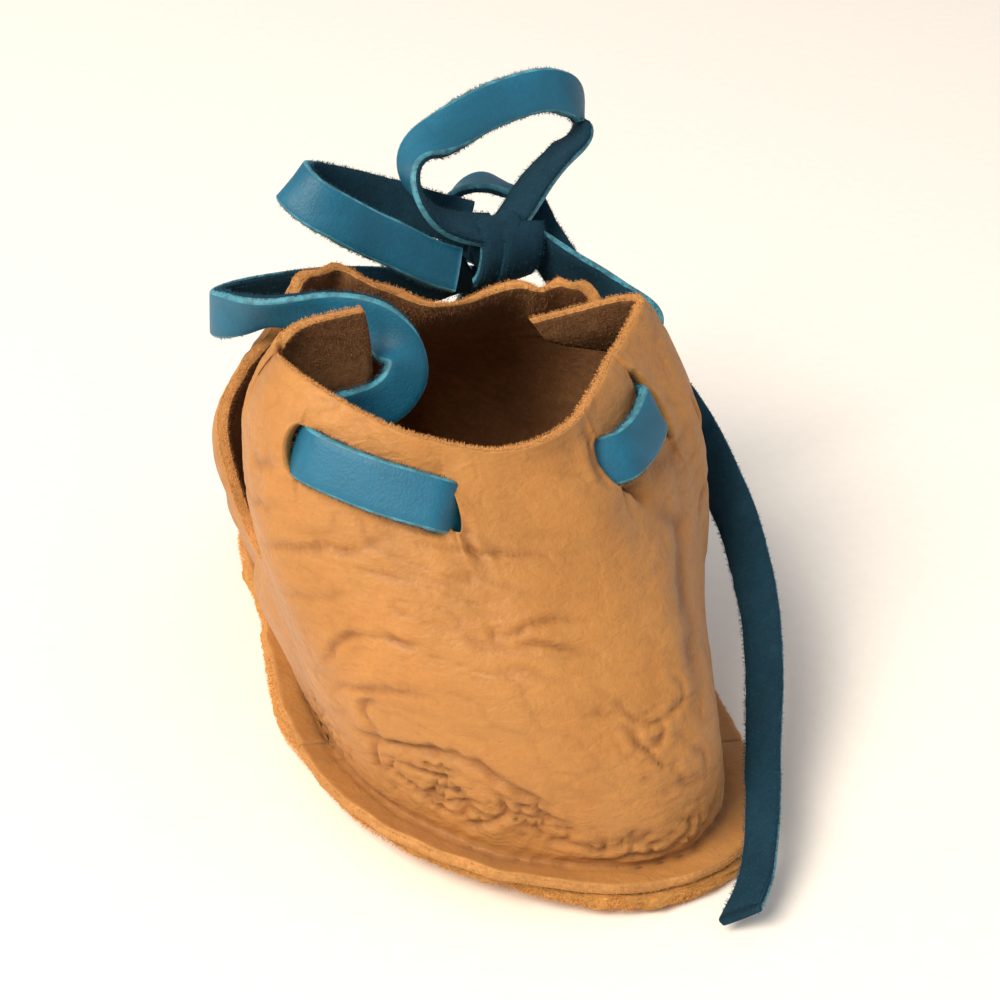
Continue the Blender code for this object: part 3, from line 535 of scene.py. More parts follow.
def crease_relief(around, up, table):
    """Troughs with a low ridge beside them, and the painted shade that darkens each trough."""
    bent_around = around + 0.8 * waver(around, up, 4.5, 3) + 0.35 * waver(around, up, 1.7, 4)
    bent_up = up + 0.8 * waver(around, up, 5.0, 5) + 0.35 * waver(around, up, 1.6, 6)
    relief, painted_shade = np.zeros(around.shape), np.zeros(around.shape)
    for row in table:
        crease = dict(zip(CREASE_COLUMNS, row))
        away, part = along_crease(bent_around, bent_up, row)
        full = np.sin(np.pi * np.clip(0.06 + 0.88 * part, 0, 1)) ** 0.6
        full = full * (0.75 + 0.35 * waver(around, up, 2.6, 7))
        relief -= 2.0 * crease["deep"] * full * bell(away, 0.8 * crease["wide"])
        relief += 0.60 * crease["deep"] * full * bell(away - 1.7 * crease["wide"], crease["wide"])
        # painted shade along the trough's core, stronger for deeper creases
        painted_shade += min(1.0, 3.6 * crease["deep"]) * full * bell(away, 0.62 * crease["wide"])
    return relief, np.clip(painted_shade, 0.0, 1.0)


def hollow_relief(around, up):
    relief = np.zeros(around.shape)
    for row in HOLLOWS:
        spot = dict(zip(HOLLOW_COLUMNS, row))
        away = np.hypot((around - spot["around"]) / spot["half_around"], (up - spot["up"]) / spot["half_up"])
        relief -= spot["deep"] * np.exp(-away ** 2)
    return relief


def crumple_relief(around, up):
    """Patches of crushed leather: folds along the patch, broken up by short cracks across it, with painted
    shade in the cracks.
    """
    relief, painted_shade = np.zeros(around.shape), np.zeros(around.shape)
    bent_around = around + 1.3 * waver(around, up, 4.0, 21)
    bent_up = up + 0.8 * waver(around, up, 3.2, 22)
    for number, row in enumerate(CRUMPLES):
        patch = dict(zip(CRUMPLE_COLUMNS, row))
        away = np.hypot((around - patch["around"]) / patch["half_around"],
                        (up - patch["up"]) / patch["half_up"])
        here = 1 - ease((away + 0.25 * waver(around, up, 3.5, 23) - 0.55) / 0.55)
        along = 1 - np.abs(waver(0.5 * bent_around, 1.25 * bent_up, 0.95 * patch["lump"], 30 + number))
        across = 1 - np.abs(waver(1.15 * bent_around, 0.6 * bent_up, 1.05 * patch["lump"], 50 + number))
        crack = np.maximum(along ** 9, 0.8 * across ** 10)
        lump = lumps(bent_around, 1.2 * bent_up, 0.8 * patch["lump"], 70 + number)
        relief += here * patch["tall"] * (0.55 * lump - 2.0 * crack)
        # painted shade in the cracks
        painted_shade = np.maximum(painted_shade, here * crack * min(1.0, 2.6 * patch["tall"]))
    return relief, painted_shade


def slack_relief(around, up):
    """The small unevenness and fine wrinkles that soft leather has everywhere, with painted shade in the
    wrinkles.
    """
    relief = 0.30 * waver(around, up, 13.0, 11) + 0.16 * waver(around, up, 6.0, 12)
    relief += 0.05 * waver(around, up, 2.4, 13)
    veins = 1 - np.abs(waver(around + 2 * waver(around, up, 7.0, 14), 3.2 * up, 7.5, 15))
    amount = ease(0.5 + waver(around, up, 15.0, 16))
    fine = veins ** 9 * amount
    small = 1 - np.abs(waver(around + waver(around, up, 5.0, 26), 2.4 * up, 4.2, 27))
    fine = np.maximum(fine, 0.55 * small ** 9 * ease(0.4 + waver(around, up, 9.0, 28)))
    # the second value is painted shade in the fine wrinkles
    return relief - 0.20 * fine, 0.42 * fine


def foot_line_relief(around, up):
    """The stitched valley between wall and flange, pinched at each stitch, with gathers above it, and painted
    shade along the valley.
    """
    pinch = 0.5 + 0.5 * np.cos(2 * np.pi * around / STITCH_STEP + 1.5 * waver(around, 0 * up, 9.0, 17))
    line = up + 0.35 * waver(around, 0 * up, 4.0, 18)
    valley = bell(line, 0.85)
    relief = -(0.55 + 0.25 * pinch) * valley
    gather = bell(up - 1.6, 1.9) * (up > -1.0)
    relief += 0.16 * gather * (pinch - 0.5 + 0.6 * waver(around, up, 2.3, 19))
    # the second value is painted shade along the valley's bottom, deeper at each pinch
    return relief, np.clip(0.85 * bell(line, 0.5) * (0.75 + 0.25 * pinch), 0, 1)


def flange_relief(around, up):
    return np.where(up < 0, 0.12 * waver(around, up, 4.0, 20) + 0.05 * waver(around, up, 1.5, 22), 0.0)


STITCH_STEP = 3.1


def quarter_relief(around, up):
    parts = [crease_relief(around, up, CREASES), crumple_relief(around, up),
             slack_relief(around, up), foot_line_relief(around, up)]
    fade = ease((up + 0.5) / 2.0)
    relief = (parts[0][0] + parts[1][0] + parts[2][0] + hollow_relief(around, up)) * fade
    # painted shade of creases, cracks and fine wrinkles, faded out at the foot line, then the valley's
    # painted shade
    painted_shade = np.clip(parts[0][1] + parts[1][1] + parts[2][1], 0, 1) * fade
    return relief + parts[3][0] + flange_relief(around, up), np.maximum(painted_shade, parts[3][1])


def vamp_relief(around, up):
    crease, slack, foot = (crease_relief(around, up, VAMP_CREASES), slack_relief(around, up),
                           foot_line_relief(around, up))
    fade = ease((up + 0.5) / 2.0)
    toe = bell(around - FORM.place(("toe", 0.0)), 48.0)
    folds = np.sin(2 * np.pi * around / 5.2 + 2.2 * waver(around, up, 8.0, 24))
    gathers = 0.30 * toe * bell(up - 4.5, 4.5) * folds
    edge = ease((up - 46.0) / 8.0)
    ruffle = 0.75 * edge * np.sin(2 * np.pi * around / 19.0 + 1.2 * waver(around, 0 * up, 14.0, 25))
    relief = (crease[0] + slack[0] + gathers + ruffle) * fade
    # painted shade of creases and fine wrinkles, and painted shade in the troughs of the toe's gathers
    painted_shade = np.clip(crease[1] + slack[1] + 0.25 * toe * bell(up - 3.0, 3.0) * np.clip(-folds, 0, 1), 0, 1)
    return relief + foot[0] + flange_relief(around, up), np.maximum(painted_shade * fade, foot[1])


# ---- meshes of the leather -----------------------------------------------------------------------
FLANGE_RINGS = 10
CUT_RINGS = (0.1, 0.3, 0.5, 0.7, 0.9)      # places across a cut edge, from the grain side


def columns(start, stop, lines=(), spacing=GRID):
    """Distances round the foot line, with a narrow pair of columns on each slit's line."""
    grid = np.linspace(start, stop, int((stop - start) / spacing) + 1)
    for line in lines:
        grid = grid[np.abs(grid - line) > 0.7 * spacing]
        grid = np.sort(np.concatenate([grid, [line - 0.12, line + 0.12]]))
    return grid


def slit_opening(up_share, slit):
    """Half the width of a slit's opening beside each column, for parts of the height."""
    height = SLITS[slit][1]
    half_tall = 0.5 * SLIT_TALL / WALL_LENGTH
    inside = np.clip(1 - ((up_share - height) / half_tall) ** 2, 0, 1)
    return 0.5 * SLIT_OPEN * np.sqrt(inside)


WALL_LENGTH = 58.0        # usual distance up the wall, which turns a slit's length into a share of height


def slit_press(around, up_share, slit):
    """Lift over the lace's inner run and dip under its outer run, beside one slit."""
    line, height = SLITS[slit]
    outer_is_after = slit in ("a", "c")
    side = np.where((around > line) == outer_is_after, -0.55, 0.75)
    across = bell((up_share - height) * WALL_LENGTH, 5.0)
    return side * across * bell(around - line, 4.2)


def leather_grid(around, wall_of, relief_of, stand_off, slits=(), spacing=GRID):
    """Grain and flesh faces of one leather piece from the flange's edge up to the rim."""
    lengths = np.linspace(0.0, 1.0, int(WALL_LENGTH / spacing) + 1)
    a, t = np.meshgrid(around, lengths, indexing="ij")
    level = a.copy()
    for slit in slits:
        line = SLITS[slit][0]
        side = np.sign(around - line)[:, None]
        level += side * slit_opening(t, slit) * bell(np.abs(a - line), 6.0)
    wall = wall_of(level, t)
    groove, edge, out = FORM.flange(around)
    wobble = 0.28 * waver(around, 0 * around, 3.4, 31) + 0.2 * waver(around, 0 * around, 9.0, 32)
    edge = edge + out * wobble[:, None]
    share = np.linspace(1.0, 0.0, FLANGE_RINGS)[None, :-1, None]
    face = np.concatenate([groove[:, None] + (edge - groove)[:, None] * share, wall], 1)
    steps = np.linalg.norm(np.diff(face, axis=1), axis=2)
    up = np.concatenate([np.zeros((len(around), 1)), np.cumsum(steps, 1)], 1)
    up -= up[:, FLANGE_RINGS - 1][:, None]
    soft = 0.9 * bell(up, 2.6)[..., None]
    for _ in range(10):
        smooth = face.copy()
        smooth[:, 1:-1] = 0.25 * face[:, :-2] + 0.5 * face[:, 1:-1] + 0.25 * face[:, 2:]
        face = face + soft * (smooth - face)
    normal = unit(np.cross(np.gradient(face, axis=0), np.gradient(face, axis=1)))
    full_around = np.concatenate([np.repeat(around[:, None], FLANGE_RINGS - 1, 1), a], 1)
    relief, painted_shade = relief_of(full_around, up)
    full_share = np.concatenate([np.zeros((len(around), FLANGE_RINGS - 1)), t], 1)
    for slit in slits:
        relief += slit_press(full_around, full_share, slit)
    stand = stand_off(full_around, up)
    outer = face + normal * (stand + relief)[..., None]
    inner = face + normal * (stand + 0.6 * np.maximum(relief, -0.5) - thickness())[..., None]
    return outer, inner, up, painted_shade, full_share


def cut_edge(outer, inner, beyond, seed):
    """Rings of points across a cut edge, a little rounded and rough."""
    rings = []
    rough = np.random.default_rng(seed).uniform(-0.08, 0.08, (len(CUT_RINGS), len(outer)))
    for part, uneven in zip(CUT_RINGS, rough):
        round_out = 0.32 * math.sin(math.pi * part) + uneven
        rings.append(outer + (inner - outer) * part + beyond * round_out[:, None])
    return rings


def kept_cells(around, up, share, slits, wings):
    """Cells of the sheet that are leather: all but the slits and what lies below the free wings."""
    kept = np.ones((up.shape[0] - 1, up.shape[1] - 1), bool)
    middle = 0.5 * (around[:-1] + around[1:])
    for slit in slits:
        line, height = SLITS[slit]
        i = int(np.argmin(np.abs(middle - line)))
        kept[i] = np.abs(0.5 * (share[i, :-1] + share[i, 1:]) - height) > 0.5 * SLIT_TALL / WALL_LENGTH
    if wings:
        free = (middle < wings[0]) | (middle > wings[1])
        kept &= ~(free[:, None] & (up[:-1, :-1] < WING_EDGE))
    return kept


def leather_mesh(name, outer, inner, painted_shade, kept):
    """Closed sheet between two grids, with rough cut edges at rim and flange and walls round its gaps."""
    count, rows = outer.shape[:2]
    rim_way = unit(outer[:, -1] - outer[:, -3])
    foot_way = unit(outer[:, 0] - outer[:, 2])
    loop = [outer[:, j] for j in range(rows)]
    loop += cut_edge(outer[:, -1], inner[:, -1], rim_way, 41)
    loop += [inner[:, j] for j in range(rows - 1, -1, -1)]
    loop += cut_edge(inner[:, 0], outer[:, 0], foot_way, 42)
    points = np.stack(loop, 1)
    size, cut = points.shape[1], len(CUT_RINGS)
    index = np.arange(count * size).reshape(count, size)
    far, near = index[:, :rows], index[:, rows + cut:2 * rows + cut][:, ::-1]
    rim, foot = index[:, rows - 1:rows + cut + 1], np.append(index[:, 2 * rows + cut - 1:], index[:, :1], 1)
    finish = np.full(size, 1)
    finish[:rows - 1] = 0
    finish[rows - 1:rows + cut] = 2
    finish[2 * rows + cut - 1:] = 2
    there = np.ones((count - 1, size), bool)
    there[:, :rows - 1] = kept
    there[:, rows + cut:2 * rows + cut - 1] = kept[:, ::-1]
    there[:, rows - 1:rows + cut] = kept[:, -1:]
    there[:, 2 * rows + cut - 1:] = kept[:, :1]
    ahead = np.roll(np.arange(size), -1)
    quads = np.stack([index[:-1], index[1:], index[1:][:, ahead], index[:-1][:, ahead]], -1)
    faces = [tuple(q) for q in quads[there]]
    slots = list(np.broadcast_to(finish, there.shape)[there])
    border = np.pad(kept, 1)
    border[:, 0] = border[:, -1] = True
    for i, j in np.argwhere(kept):
        corners = (far[i, j], far[i + 1, j], far[i + 1, j + 1], far[i, j + 1])
        behind = (near[i, j], near[i + 1, j], near[i + 1, j + 1], near[i, j + 1])
        beside = (border[i + 1, j], border[i + 2, j + 1], border[i + 1, j + 2], border[i, j + 1])
        for k in np.flatnonzero(~np.array(beside)):
            n = (k + 1) % 4
            faces.append((corners[n], corners[k], behind[k], behind[n]))
    for i in range(count):
        for ring, row in ((rim, -1), (foot, 0)):
            before = i > 0 and kept[i - 1, row]
            after = i < count - 1 and kept[i, row]
            if before != after:
                faces.append(tuple(ring[i])[::1 if after else -1])
    slots += [2] * (len(faces) - len(slots))
    # painted shade per point, stored as the 'crease' value: full on the grain face, half on the flesh face
    shade = np.zeros((count, size))
    shade[:, :rows] = painted_shade
    shade[:, rows + cut:2 * rows + cut] = 0.5 * painted_shade[:, ::-1]
    return make_mesh(name, points.reshape(-1, 3), faces, slots, {"crease": shade.ravel()})


def make_mesh(name, points, faces, slots=None, shades=None, smooth=True):
    """Mesh object from table points; slots are material numbers and shades are named values per point."""
    mesh = bpy.data.meshes.new(name)
    mesh.from_pydata(to_frame(points).tolist(), [], [tuple(map(int, f)) for f in faces])
    if slots is not None:
        mesh.polygons.foreach_set("material_index", np.asarray(slots, np.int32))
    for key, values in (shades or {}).items():
        mesh.attributes.new(key, "FLOAT", "POINT").data.foreach_set("value", np.asarray(values, np.float32))
    if smooth:
        mesh.shade_smooth()
    mesh.update()
    piece = bpy.data.objects.new(name, mesh)
    bpy.context.scene.collection.objects.link(piece)
    return piece


def dress(piece, slot_name, finishes, *nodes):
    """Gives a piece its finishes and its place on the shoe's body; the slot name is not used."""
    for finish in finishes:
        piece.data.materials.append(finish)
    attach(piece, BODY)
    if nodes:
        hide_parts(*nodes)
    return piece


# ---- fibres --------------------------------------------------------------------------------------
def fibre_mesh(name, roots, ways, lengths, girth):
    """One joined mesh of tapering fibres, three faces each."""
    side = unit(np.cross(ways, [0.31, 0.52, 0.79]))
    over = np.cross(ways, side)
    points = [roots + girth * (math.cos(turn) * side + math.sin(turn) * over)
              for turn in (0.0, 2.094, 4.189)]
    points.append(roots + ways * lengths[:, None])
    points = np.stack(points, 1)
    index = np.arange(4 * len(roots)).reshape(-1, 4)
    faces = np.concatenate([index[:, [0, 1, 3]], index[:, [1, 2, 3]], index[:, [2, 0, 3]]])
    return make_mesh(name, points.reshape(-1, 3), faces, smooth=False)


def scatter(points, ways, amount, rng, jitter):
    """Random roots along a line of points, with a shaken direction each."""
    steps = np.linalg.norm(np.diff(points, axis=0), axis=1)
    length = np.concatenate([[0.0], np.cumsum(steps)])
    at = rng.uniform(0, length[-1], int(amount * length[-1]))
    roots = np.stack([np.interp(at, length, points[:, k]) for k in range(3)], -1)
    way = np.stack([np.interp(at, length, ways[:, k]) for k in range(3)], -1)
    return roots, unit(way + rng.normal(0, jitter, way.shape))


# ---- settings ------------------------------------------------------------------------------------
class LeatherSettings(bpy.types.PropertyGroup):
    thickness: FloatProperty(name="Thickness", description="Thickness of the upper's leather",
                             default=0.0015, min=0.0008, max=0.003, unit="LENGTH")
    crease_depth: FloatProperty(name="Crease depth", description="Factor on the depth of all relief",
                                default=1.0, min=0.0, max=2.0, subtype="FACTOR")
    nap_length: FloatProperty(name="Nap length", description="Mean length of the fibres on cut edges",
                              default=0.0004, min=0.0, max=0.002, unit="LENGTH")
    grain_colour: FloatVectorProperty(name="Grain colour", description="Smooth outer face of the leather",
                                      subtype="COLOR", size=3, min=0, max=1, default=(0.45, 0.200, 0.050))
    flesh_colour: FloatVectorProperty(name="Flesh colour", description="Napped inner face of the leather",
                                      subtype="COLOR", size=3, min=0, max=1, default=(0.25, 0.118, 0.050))
    cut_colour: FloatVectorProperty(name="Cut edge colour", description="Cut edges of the upper's leather",
                                    subtype="COLOR", size=3, min=0, max=1, default=(0.62, 0.30, 0.100))
    sole_colour: FloatVectorProperty(name="Sole colour", description="Sueded leather of the sole",
                                     subtype="COLOR", size=3, min=0, max=1, default=(0.70, 0.340, 0.100))


class LaceSettings(bpy.types.PropertyGroup):
    grain_colour: FloatVectorProperty(name="Grain colour", description="Smooth dyed face of the thong",
                                      subtype="COLOR", size=3, min=0, max=1, default=(0.006, 0.120, 0.215))
    # pale line of the grain's rounded edges: partly a paler edge of the dye, partly painted highlight
    line_colour: FloatVectorProperty(name="Edge line colour", description="Pale rounded edge of the grain",
                                     subtype="COLOR", size=3, min=0, max=1, default=(0.060, 0.270, 0.360))
    flesh_colour: FloatVectorProperty(name="Flesh colour", description="Napped dyed face of the thong",
                                      subtype="COLOR", size=3, min=0, max=1, default=(0.010, 0.045, 0.075))
    nap_length: FloatProperty(name="Nap length", description="Mean length of the fibres on the thong's edges",
                              default=0.00045, min=0.0, max=0.002, unit="LENGTH")


class StageSettings(bpy.types.PropertyGroup):
    floor_colour: FloatVectorProperty(name="Floor colour", description="Pale floor and background",
                                      subtype="COLOR", size=3, min=0, max=1, default=(0.95, 0.905, 0.85))
    key_power: FloatProperty(name="Key light", description="Power of the large window light, in watts",
                             default=28.0, min=0.0, max=100.0)
    fill: FloatProperty(name="Fill", description="Strength of the light from all round",
                        default=0.50, min=0.0, max=5.0)


class MoccasinSettings(bpy.types.PropertyGroup):
    leather: PointerProperty(type=LeatherSettings)
    lace: PointerProperty(type=LaceSettings)
    stage: PointerProperty(type=StageSettings)


def settings():
    return bpy.context.scene.moccasin


def thickness():
    return settings().leather.thickness / MM


# ---- finishes ------------------------------------------------------------------------------------
def node(tree, kind, inputs=None, **choices):
    """Adds a shader node; an input is a value or another node's output."""
    made = tree.nodes.new(kind)
    for key, value in choices.items():
        setattr(made, key, value)
    for key, value in (inputs or {}).items():
        if isinstance(value, bpy.types.NodeSocket):
            tree.links.new(value, made.inputs[key])
        else:
            made.inputs[key].default_value = value
    return made


def blend(tree, factor, first, second, mode="MIX"):
    """Colour mix; the numbers are the colour sockets of the Mix node."""
    mix = node(tree, "ShaderNodeMix", {0: factor, 6: first, 7: second}, data_type="RGBA", blend_type=mode)
    return mix.outputs[2]


def remap(tree, value, low, high, to_low, to_high):
    made = node(tree, "ShaderNodeMapRange", {"Value": value, "From Min": low, "From Max": high,
                                             "To Min": to_low, "To Max": to_high})
    return made.outputs["Result"]


def noise(tree, place, per_mm, detail=3.0, rough=0.6, warp=0.0):
    made = node(tree, "ShaderNodeTexNoise", {"Vector": place, "Scale": per_mm / MM, "Detail": detail,
                                             "Roughness": rough, "Distortion": warp})
    return made.outputs["Fac"]


def rgba(colour, factor=1.0):
    return (*(min(1.0, c * factor) for c in colour), 1.0)


def start_finish(name):
    """A new material's tree, its shader, and the place on the object as coordinates."""
    material = bpy.data.materials.new(name)
    material.use_nodes = True
    tree = material.node_tree
    shader = tree.nodes["Principled BSDF"]
    place = node(tree, "ShaderNodeTexCoord").outputs["Object"]
    return material, tree, shader, place


def bump(tree, height, distance_mm, strength, below=None):
    inputs = {"Height": height, "Distance": distance_mm * MM, "Strength": strength}
    if below is not None:
        inputs["Normal"] = below
    return node(tree, "ShaderNodeBump", inputs).outputs["Normal"]


def grain_finish():
    """Golden deerskin, grain side: mottled tan, fine pebbles, faint wrinkles with painted shade in them, and
    painted shade in the creases.
    """
    colour = settings().leather.grain_colour
    material, tree, shader, place = start_finish("deerskin_grain")
    flat = node(tree, "ShaderNodeMapping", {"Vector": place, "Scale": (1.0, 1.0, 2.2)}).outputs["Vector"]
    mottle = noise(tree, place, 0.045, 4.0, 0.65, 0.6)
    patch = noise(tree, place, 0.16, 3.0, 0.6, 0.3)
    speck = noise(tree, place, 1.6, 3.0, 0.7)
    tone = blend(tree, remap(tree, mottle, 0.35, 0.68, 0.0, 1.0), rgba(colour, 0.86), rgba(colour, 1.10))
    tone = blend(tree, remap(tree, patch, 0.40, 0.72, 0.0, 0.35), tone,
                 (colour[0] * 0.96, colour[1] * 0.80, colour[2] * 0.62, 1.0))
    tone = blend(tree, remap(tree, speck, 0.35, 0.70, 0.0, 0.30), tone, rgba(colour, 0.72))
    pore = node(tree, "ShaderNodeTexVoronoi", {"Vector": place, "Scale": 2.1 / MM, "Randomness": 1.0})
    wrinkle = noise(tree, flat, 0.34, 2.5, 0.55, 0.6)
    painted_shade = node(tree, "ShaderNodeAttribute", attribute_name="crease").outputs["Fac"]
    # painted shade in the troughs of the faint wrinkles
    tone = blend(tree, remap(tree, wrinkle, 0.30, 0.46, 0.22, 0.0), tone, rgba(colour, 0.62))
    # painted shade in the creases, from the 'crease' values that the leather's points carry
    tone = blend(tree, remap(tree, painted_shade, 0.0, 1.0, 0.0, 0.80), tone,
                 (colour[0] * 0.42, colour[1] * 0.33, colour[2] * 0.30, 1.0))
    normal = bump(tree, speck, 0.10, 0.55)
    normal = bump(tree, pore.outputs["Distance"], 0.06, 0.45, normal)
    normal = bump(tree, wrinkle, 0.7, 0.4, normal)
    tree.links.new(tone, shader.inputs["Base Color"])
    tree.links.new(normal, shader.inputs["Normal"])
    tree.links.new(remap(tree, speck, 0.3, 0.7, 0.50, 0.66), shader.inputs["Roughness"])
    shader.inputs["Specular IOR Level"].default_value = 0.38
    shader.inputs["Sheen Weight"].default_value = 0.06
    shader.inputs["Sheen Roughness"].default_value = 0.5
    return material


def napped_finish(name, colour, painted_tuft_shade, fibre_mm, relief_mm, stretch=(1.0, 1.0, 1.0), sheen=0.35):
    """Sueded leather: a tangled nap with painted shade between the tufts and fibres, with a soft sheen."""
    material, tree, shader, place = start_finish(name)
    laid = node(tree, "ShaderNodeMapping", {"Vector": place, "Scale": stretch}).outputs["Vector"]
    patch = noise(tree, place, 0.12, 3.0, 0.6, 0.5)
    tuft = noise(tree, laid, 0.9 / fibre_mm * 0.35, 4.0, 0.72, 1.4)
    hair = noise(tree, laid, 1.0 / fibre_mm, 3.0, 0.75, 2.0)
    tone = blend(tree, remap(tree, patch, 0.35, 0.68, 0.0, 1.0), rgba(colour, 0.80), rgba(colour, 1.15))
    # painted shade where the tufts and the fibres lie low, where the bump also sinks
    tone = blend(tree, remap(tree, tuft, 0.42, 0.66, painted_tuft_shade, 0.0), tone, rgba(colour, 0.38))
    tone = blend(tree, remap(tree, hair, 0.35, 0.65, 0.35, 0.0), tone, rgba(colour, 0.55))
    normal = bump(tree, tuft, relief_mm, 0.8)
    normal = bump(tree, hair, 0.5 * relief_mm, 0.7, normal)
    tree.links.new(tone, shader.inputs["Base Color"])
    tree.links.new(normal, shader.inputs["Normal"])
    shader.inputs["Roughness"].default_value = 0.92
    shader.inputs["Specular IOR Level"].default_value = 0.15
    shader.inputs["Sheen Weight"].default_value = sheen
    shader.inputs["Sheen Roughness"].default_value = 0.45
    shader.inputs["Sheen Tint"].default_value = rgba(colour, 1.6)
    return material


def lace_grain_finish():
    """Dyed thong, grain side: smooth teal with fine pebbles and slightly uneven dye."""
    colour = settings().lace.grain_colour
    material, tree, shader, place = start_finish("lace_grain")
    dye = noise(tree, place, 0.10, 3.0, 0.6, 0.6)
    fine = noise(tree, place, 1.5, 3.0, 0.7)
    tone = blend(tree, remap(tree, dye, 0.35, 0.68, 0.0, 1.0), rgba(colour, 0.86), rgba(colour, 1.16))
    tone = blend(tree, remap(tree, fine, 0.36, 0.66, 0.28, 0.0), tone, rgba(colour, 0.62))
    pore = node(tree, "ShaderNodeTexVoronoi", {"Vector": place, "Scale": 2.6 / MM, "Randomness": 1.0})
    normal = bump(tree, fine, 0.10, 0.5)
    normal = bump(tree, pore.outputs["Distance"], 0.06, 0.5, normal)
    tree.links.new(tone, shader.inputs["Base Color"])
    tree.links.new(normal, shader.inputs["Normal"])
    tree.links.new(remap(tree, fine, 0.3, 0.7, 0.46, 0.62), shader.inputs["Roughness"])
    shader.inputs["Specular IOR Level"].default_value = 0.42
    return material


def lace_line_finish():
    """The thin pale line where the thong's grain meets its cut edge: partly a paler edge of the dye, partly
    painted highlight on the rounded corner.
    """
    colour = settings().lace.line_colour
    material, tree, shader, place = start_finish("lace_edge_line")
    worn = noise(tree, place, 0.5, 3.0, 0.7)
    tone = blend(tree, remap(tree, worn, 0.40, 0.62, 0.0, 1.0), rgba(colour, 0.55), rgba(colour, 1.1))
    tree.links.new(tone, shader.inputs["Base Color"])
    tree.links.new(bump(tree, worn, 0.1, 0.4), shader.inputs["Normal"])
    shader.inputs["Roughness"].default_value = 0.6
    return material


def plain_finish(name, colour, roughness, relief_mm=0.0, per_mm=2.0, uneven=0.15):
    material, tree, shader, place = start_finish(name)
    fine = noise(tree, place, per_mm, 3.0, 0.6)
    share = remap(tree, fine, 0.3, 0.7, 0.0, 1.0)
    tone = blend(tree, share, rgba(colour, 1 - uneven), rgba(colour, 1 + uneven))
    tree.links.new(tone, shader.inputs["Base Color"])
    if relief_mm:
        tree.links.new(bump(tree, fine, relief_mm, 0.6), shader.inputs["Normal"])
    shader.inputs["Roughness"].default_value = roughness
    shader.inputs["Specular IOR Level"].default_value = 0.25
    return material


FINISHES = {}


def finish(name):
    """The named finish, made when it is first asked for."""
    leather, lace = settings().leather, settings().lace
    makers = {
        "grain": grain_finish,
        "flesh": lambda: napped_finish("deerskin_flesh", leather.flesh_colour, 0.55, 0.55, 0.30),
        "cut": lambda: napped_finish("deerskin_cut", leather.cut_colour, 0.35, 0.40, 0.22),
        "fibre": lambda: plain_finish("deerskin_fibre", leather.cut_colour, 0.85),
        "flesh_fibre": lambda: plain_finish("deerskin_flesh_fibre", leather.flesh_colour, 0.85),
        "sole": lambda: napped_finish("sole_suede", leather.sole_colour, 0.50, 0.60, 0.35, (1.0, 1.0, 1.8)),
        "sole_fibre": lambda: plain_finish("sole_fibre", leather.sole_colour, 0.85),
        "thread": lambda: plain_finish("seam_thread", [0.5 * c for c in leather.grain_colour],
                                       0.7, 0.05, 4.0),
        "lace_grain": lace_grain_finish,
        "lace_line": lace_line_finish,
        "lace_flesh": lambda: napped_finish("lace_flesh", lace.flesh_colour, 0.35, 0.40, 0.22, sheen=0.25),
        "lace_fibre": lambda: plain_finish("lace_fibre", [1.6 * c for c in lace.flesh_colour], 0.85),
    }
    if name not in FINISHES:
        FINISHES[name] = makers[name]()
    return FINISHES[name]


# ---- upper ---------------------------------------------------------------------------------------
LEATHER_FINISHES = ("grain", "flesh", "cut")
SHEETS = {}               # grids of the made sheets, which the fibres follow


def make_sheet(name, around, wall_of, relief_of, stand_off, slits=(), wings=None, spacing=GRID):
    outer, inner, up, painted_shade, share = leather_grid(around, wall_of, relief_of, stand_off, slits, spacing)
    kept = kept_cells(around, up, share, slits, wings)
    piece = leather_mesh(name, outer, inner, painted_shade, kept)
    SHEETS[name] = (outer, inner, up)
    return dress(piece, "deerskin", [finish(f) for f in LEATHER_FINISHES], "upper")


def make_quarter():
    around = columns(FORM.place(QUARTER_FRONT_L) - FORM.round, FORM.place(QUARTER_FRONT_R),
                     [line for line, _ in SLITS.values()], QUARTER_GRID)
    wings = (FORM.place(NOTCH_L) - FORM.round, FORM.place(NOTCH_R))
    make_sheet("quarter_leather", around, quarter_wall, quarter_relief, quarter_off,
               tuple(SLITS), wings, QUARTER_GRID)


def make_vamp():
    around = columns(FORM.place(NOTCH_R) + 0.35, FORM.place(NOTCH_L) - 0.35)
    make_sheet("vamp_leather", around, vamp_wall, vamp_relief, vamp_off)


# ---- sole ----------------------------------------------------------------------------------------
SOLE_RINGS = ((1.0, 1.0), (0.93, 0.70), (0.84, 0.28), (0.72, 0.0))   # part of the outline, part of the lift
SOLE_INSET = 1.7
SOLE_EDGE = (0.06, 0.2, 0.35, 0.5, 0.65, 0.8, 0.94)                  # levels on the cut edge, from the top


def sole_outline():
    """Edge of the sole: the flange's line, but a little inside it along the wearer's left."""
    around = np.linspace(0, FORM.round, 620, endpoint=False)
    _, edge, out = FORM.flange(around)
    inset = SOLE_INSET * ease((around - FORM.place(("seam_l", 0.0))) / 12.0)
    edge = edge - out * inset[:, None] * ease((FORM.round - around) / 20.0)[:, None]
    return around, edge, out, FORM.column("lift", around)


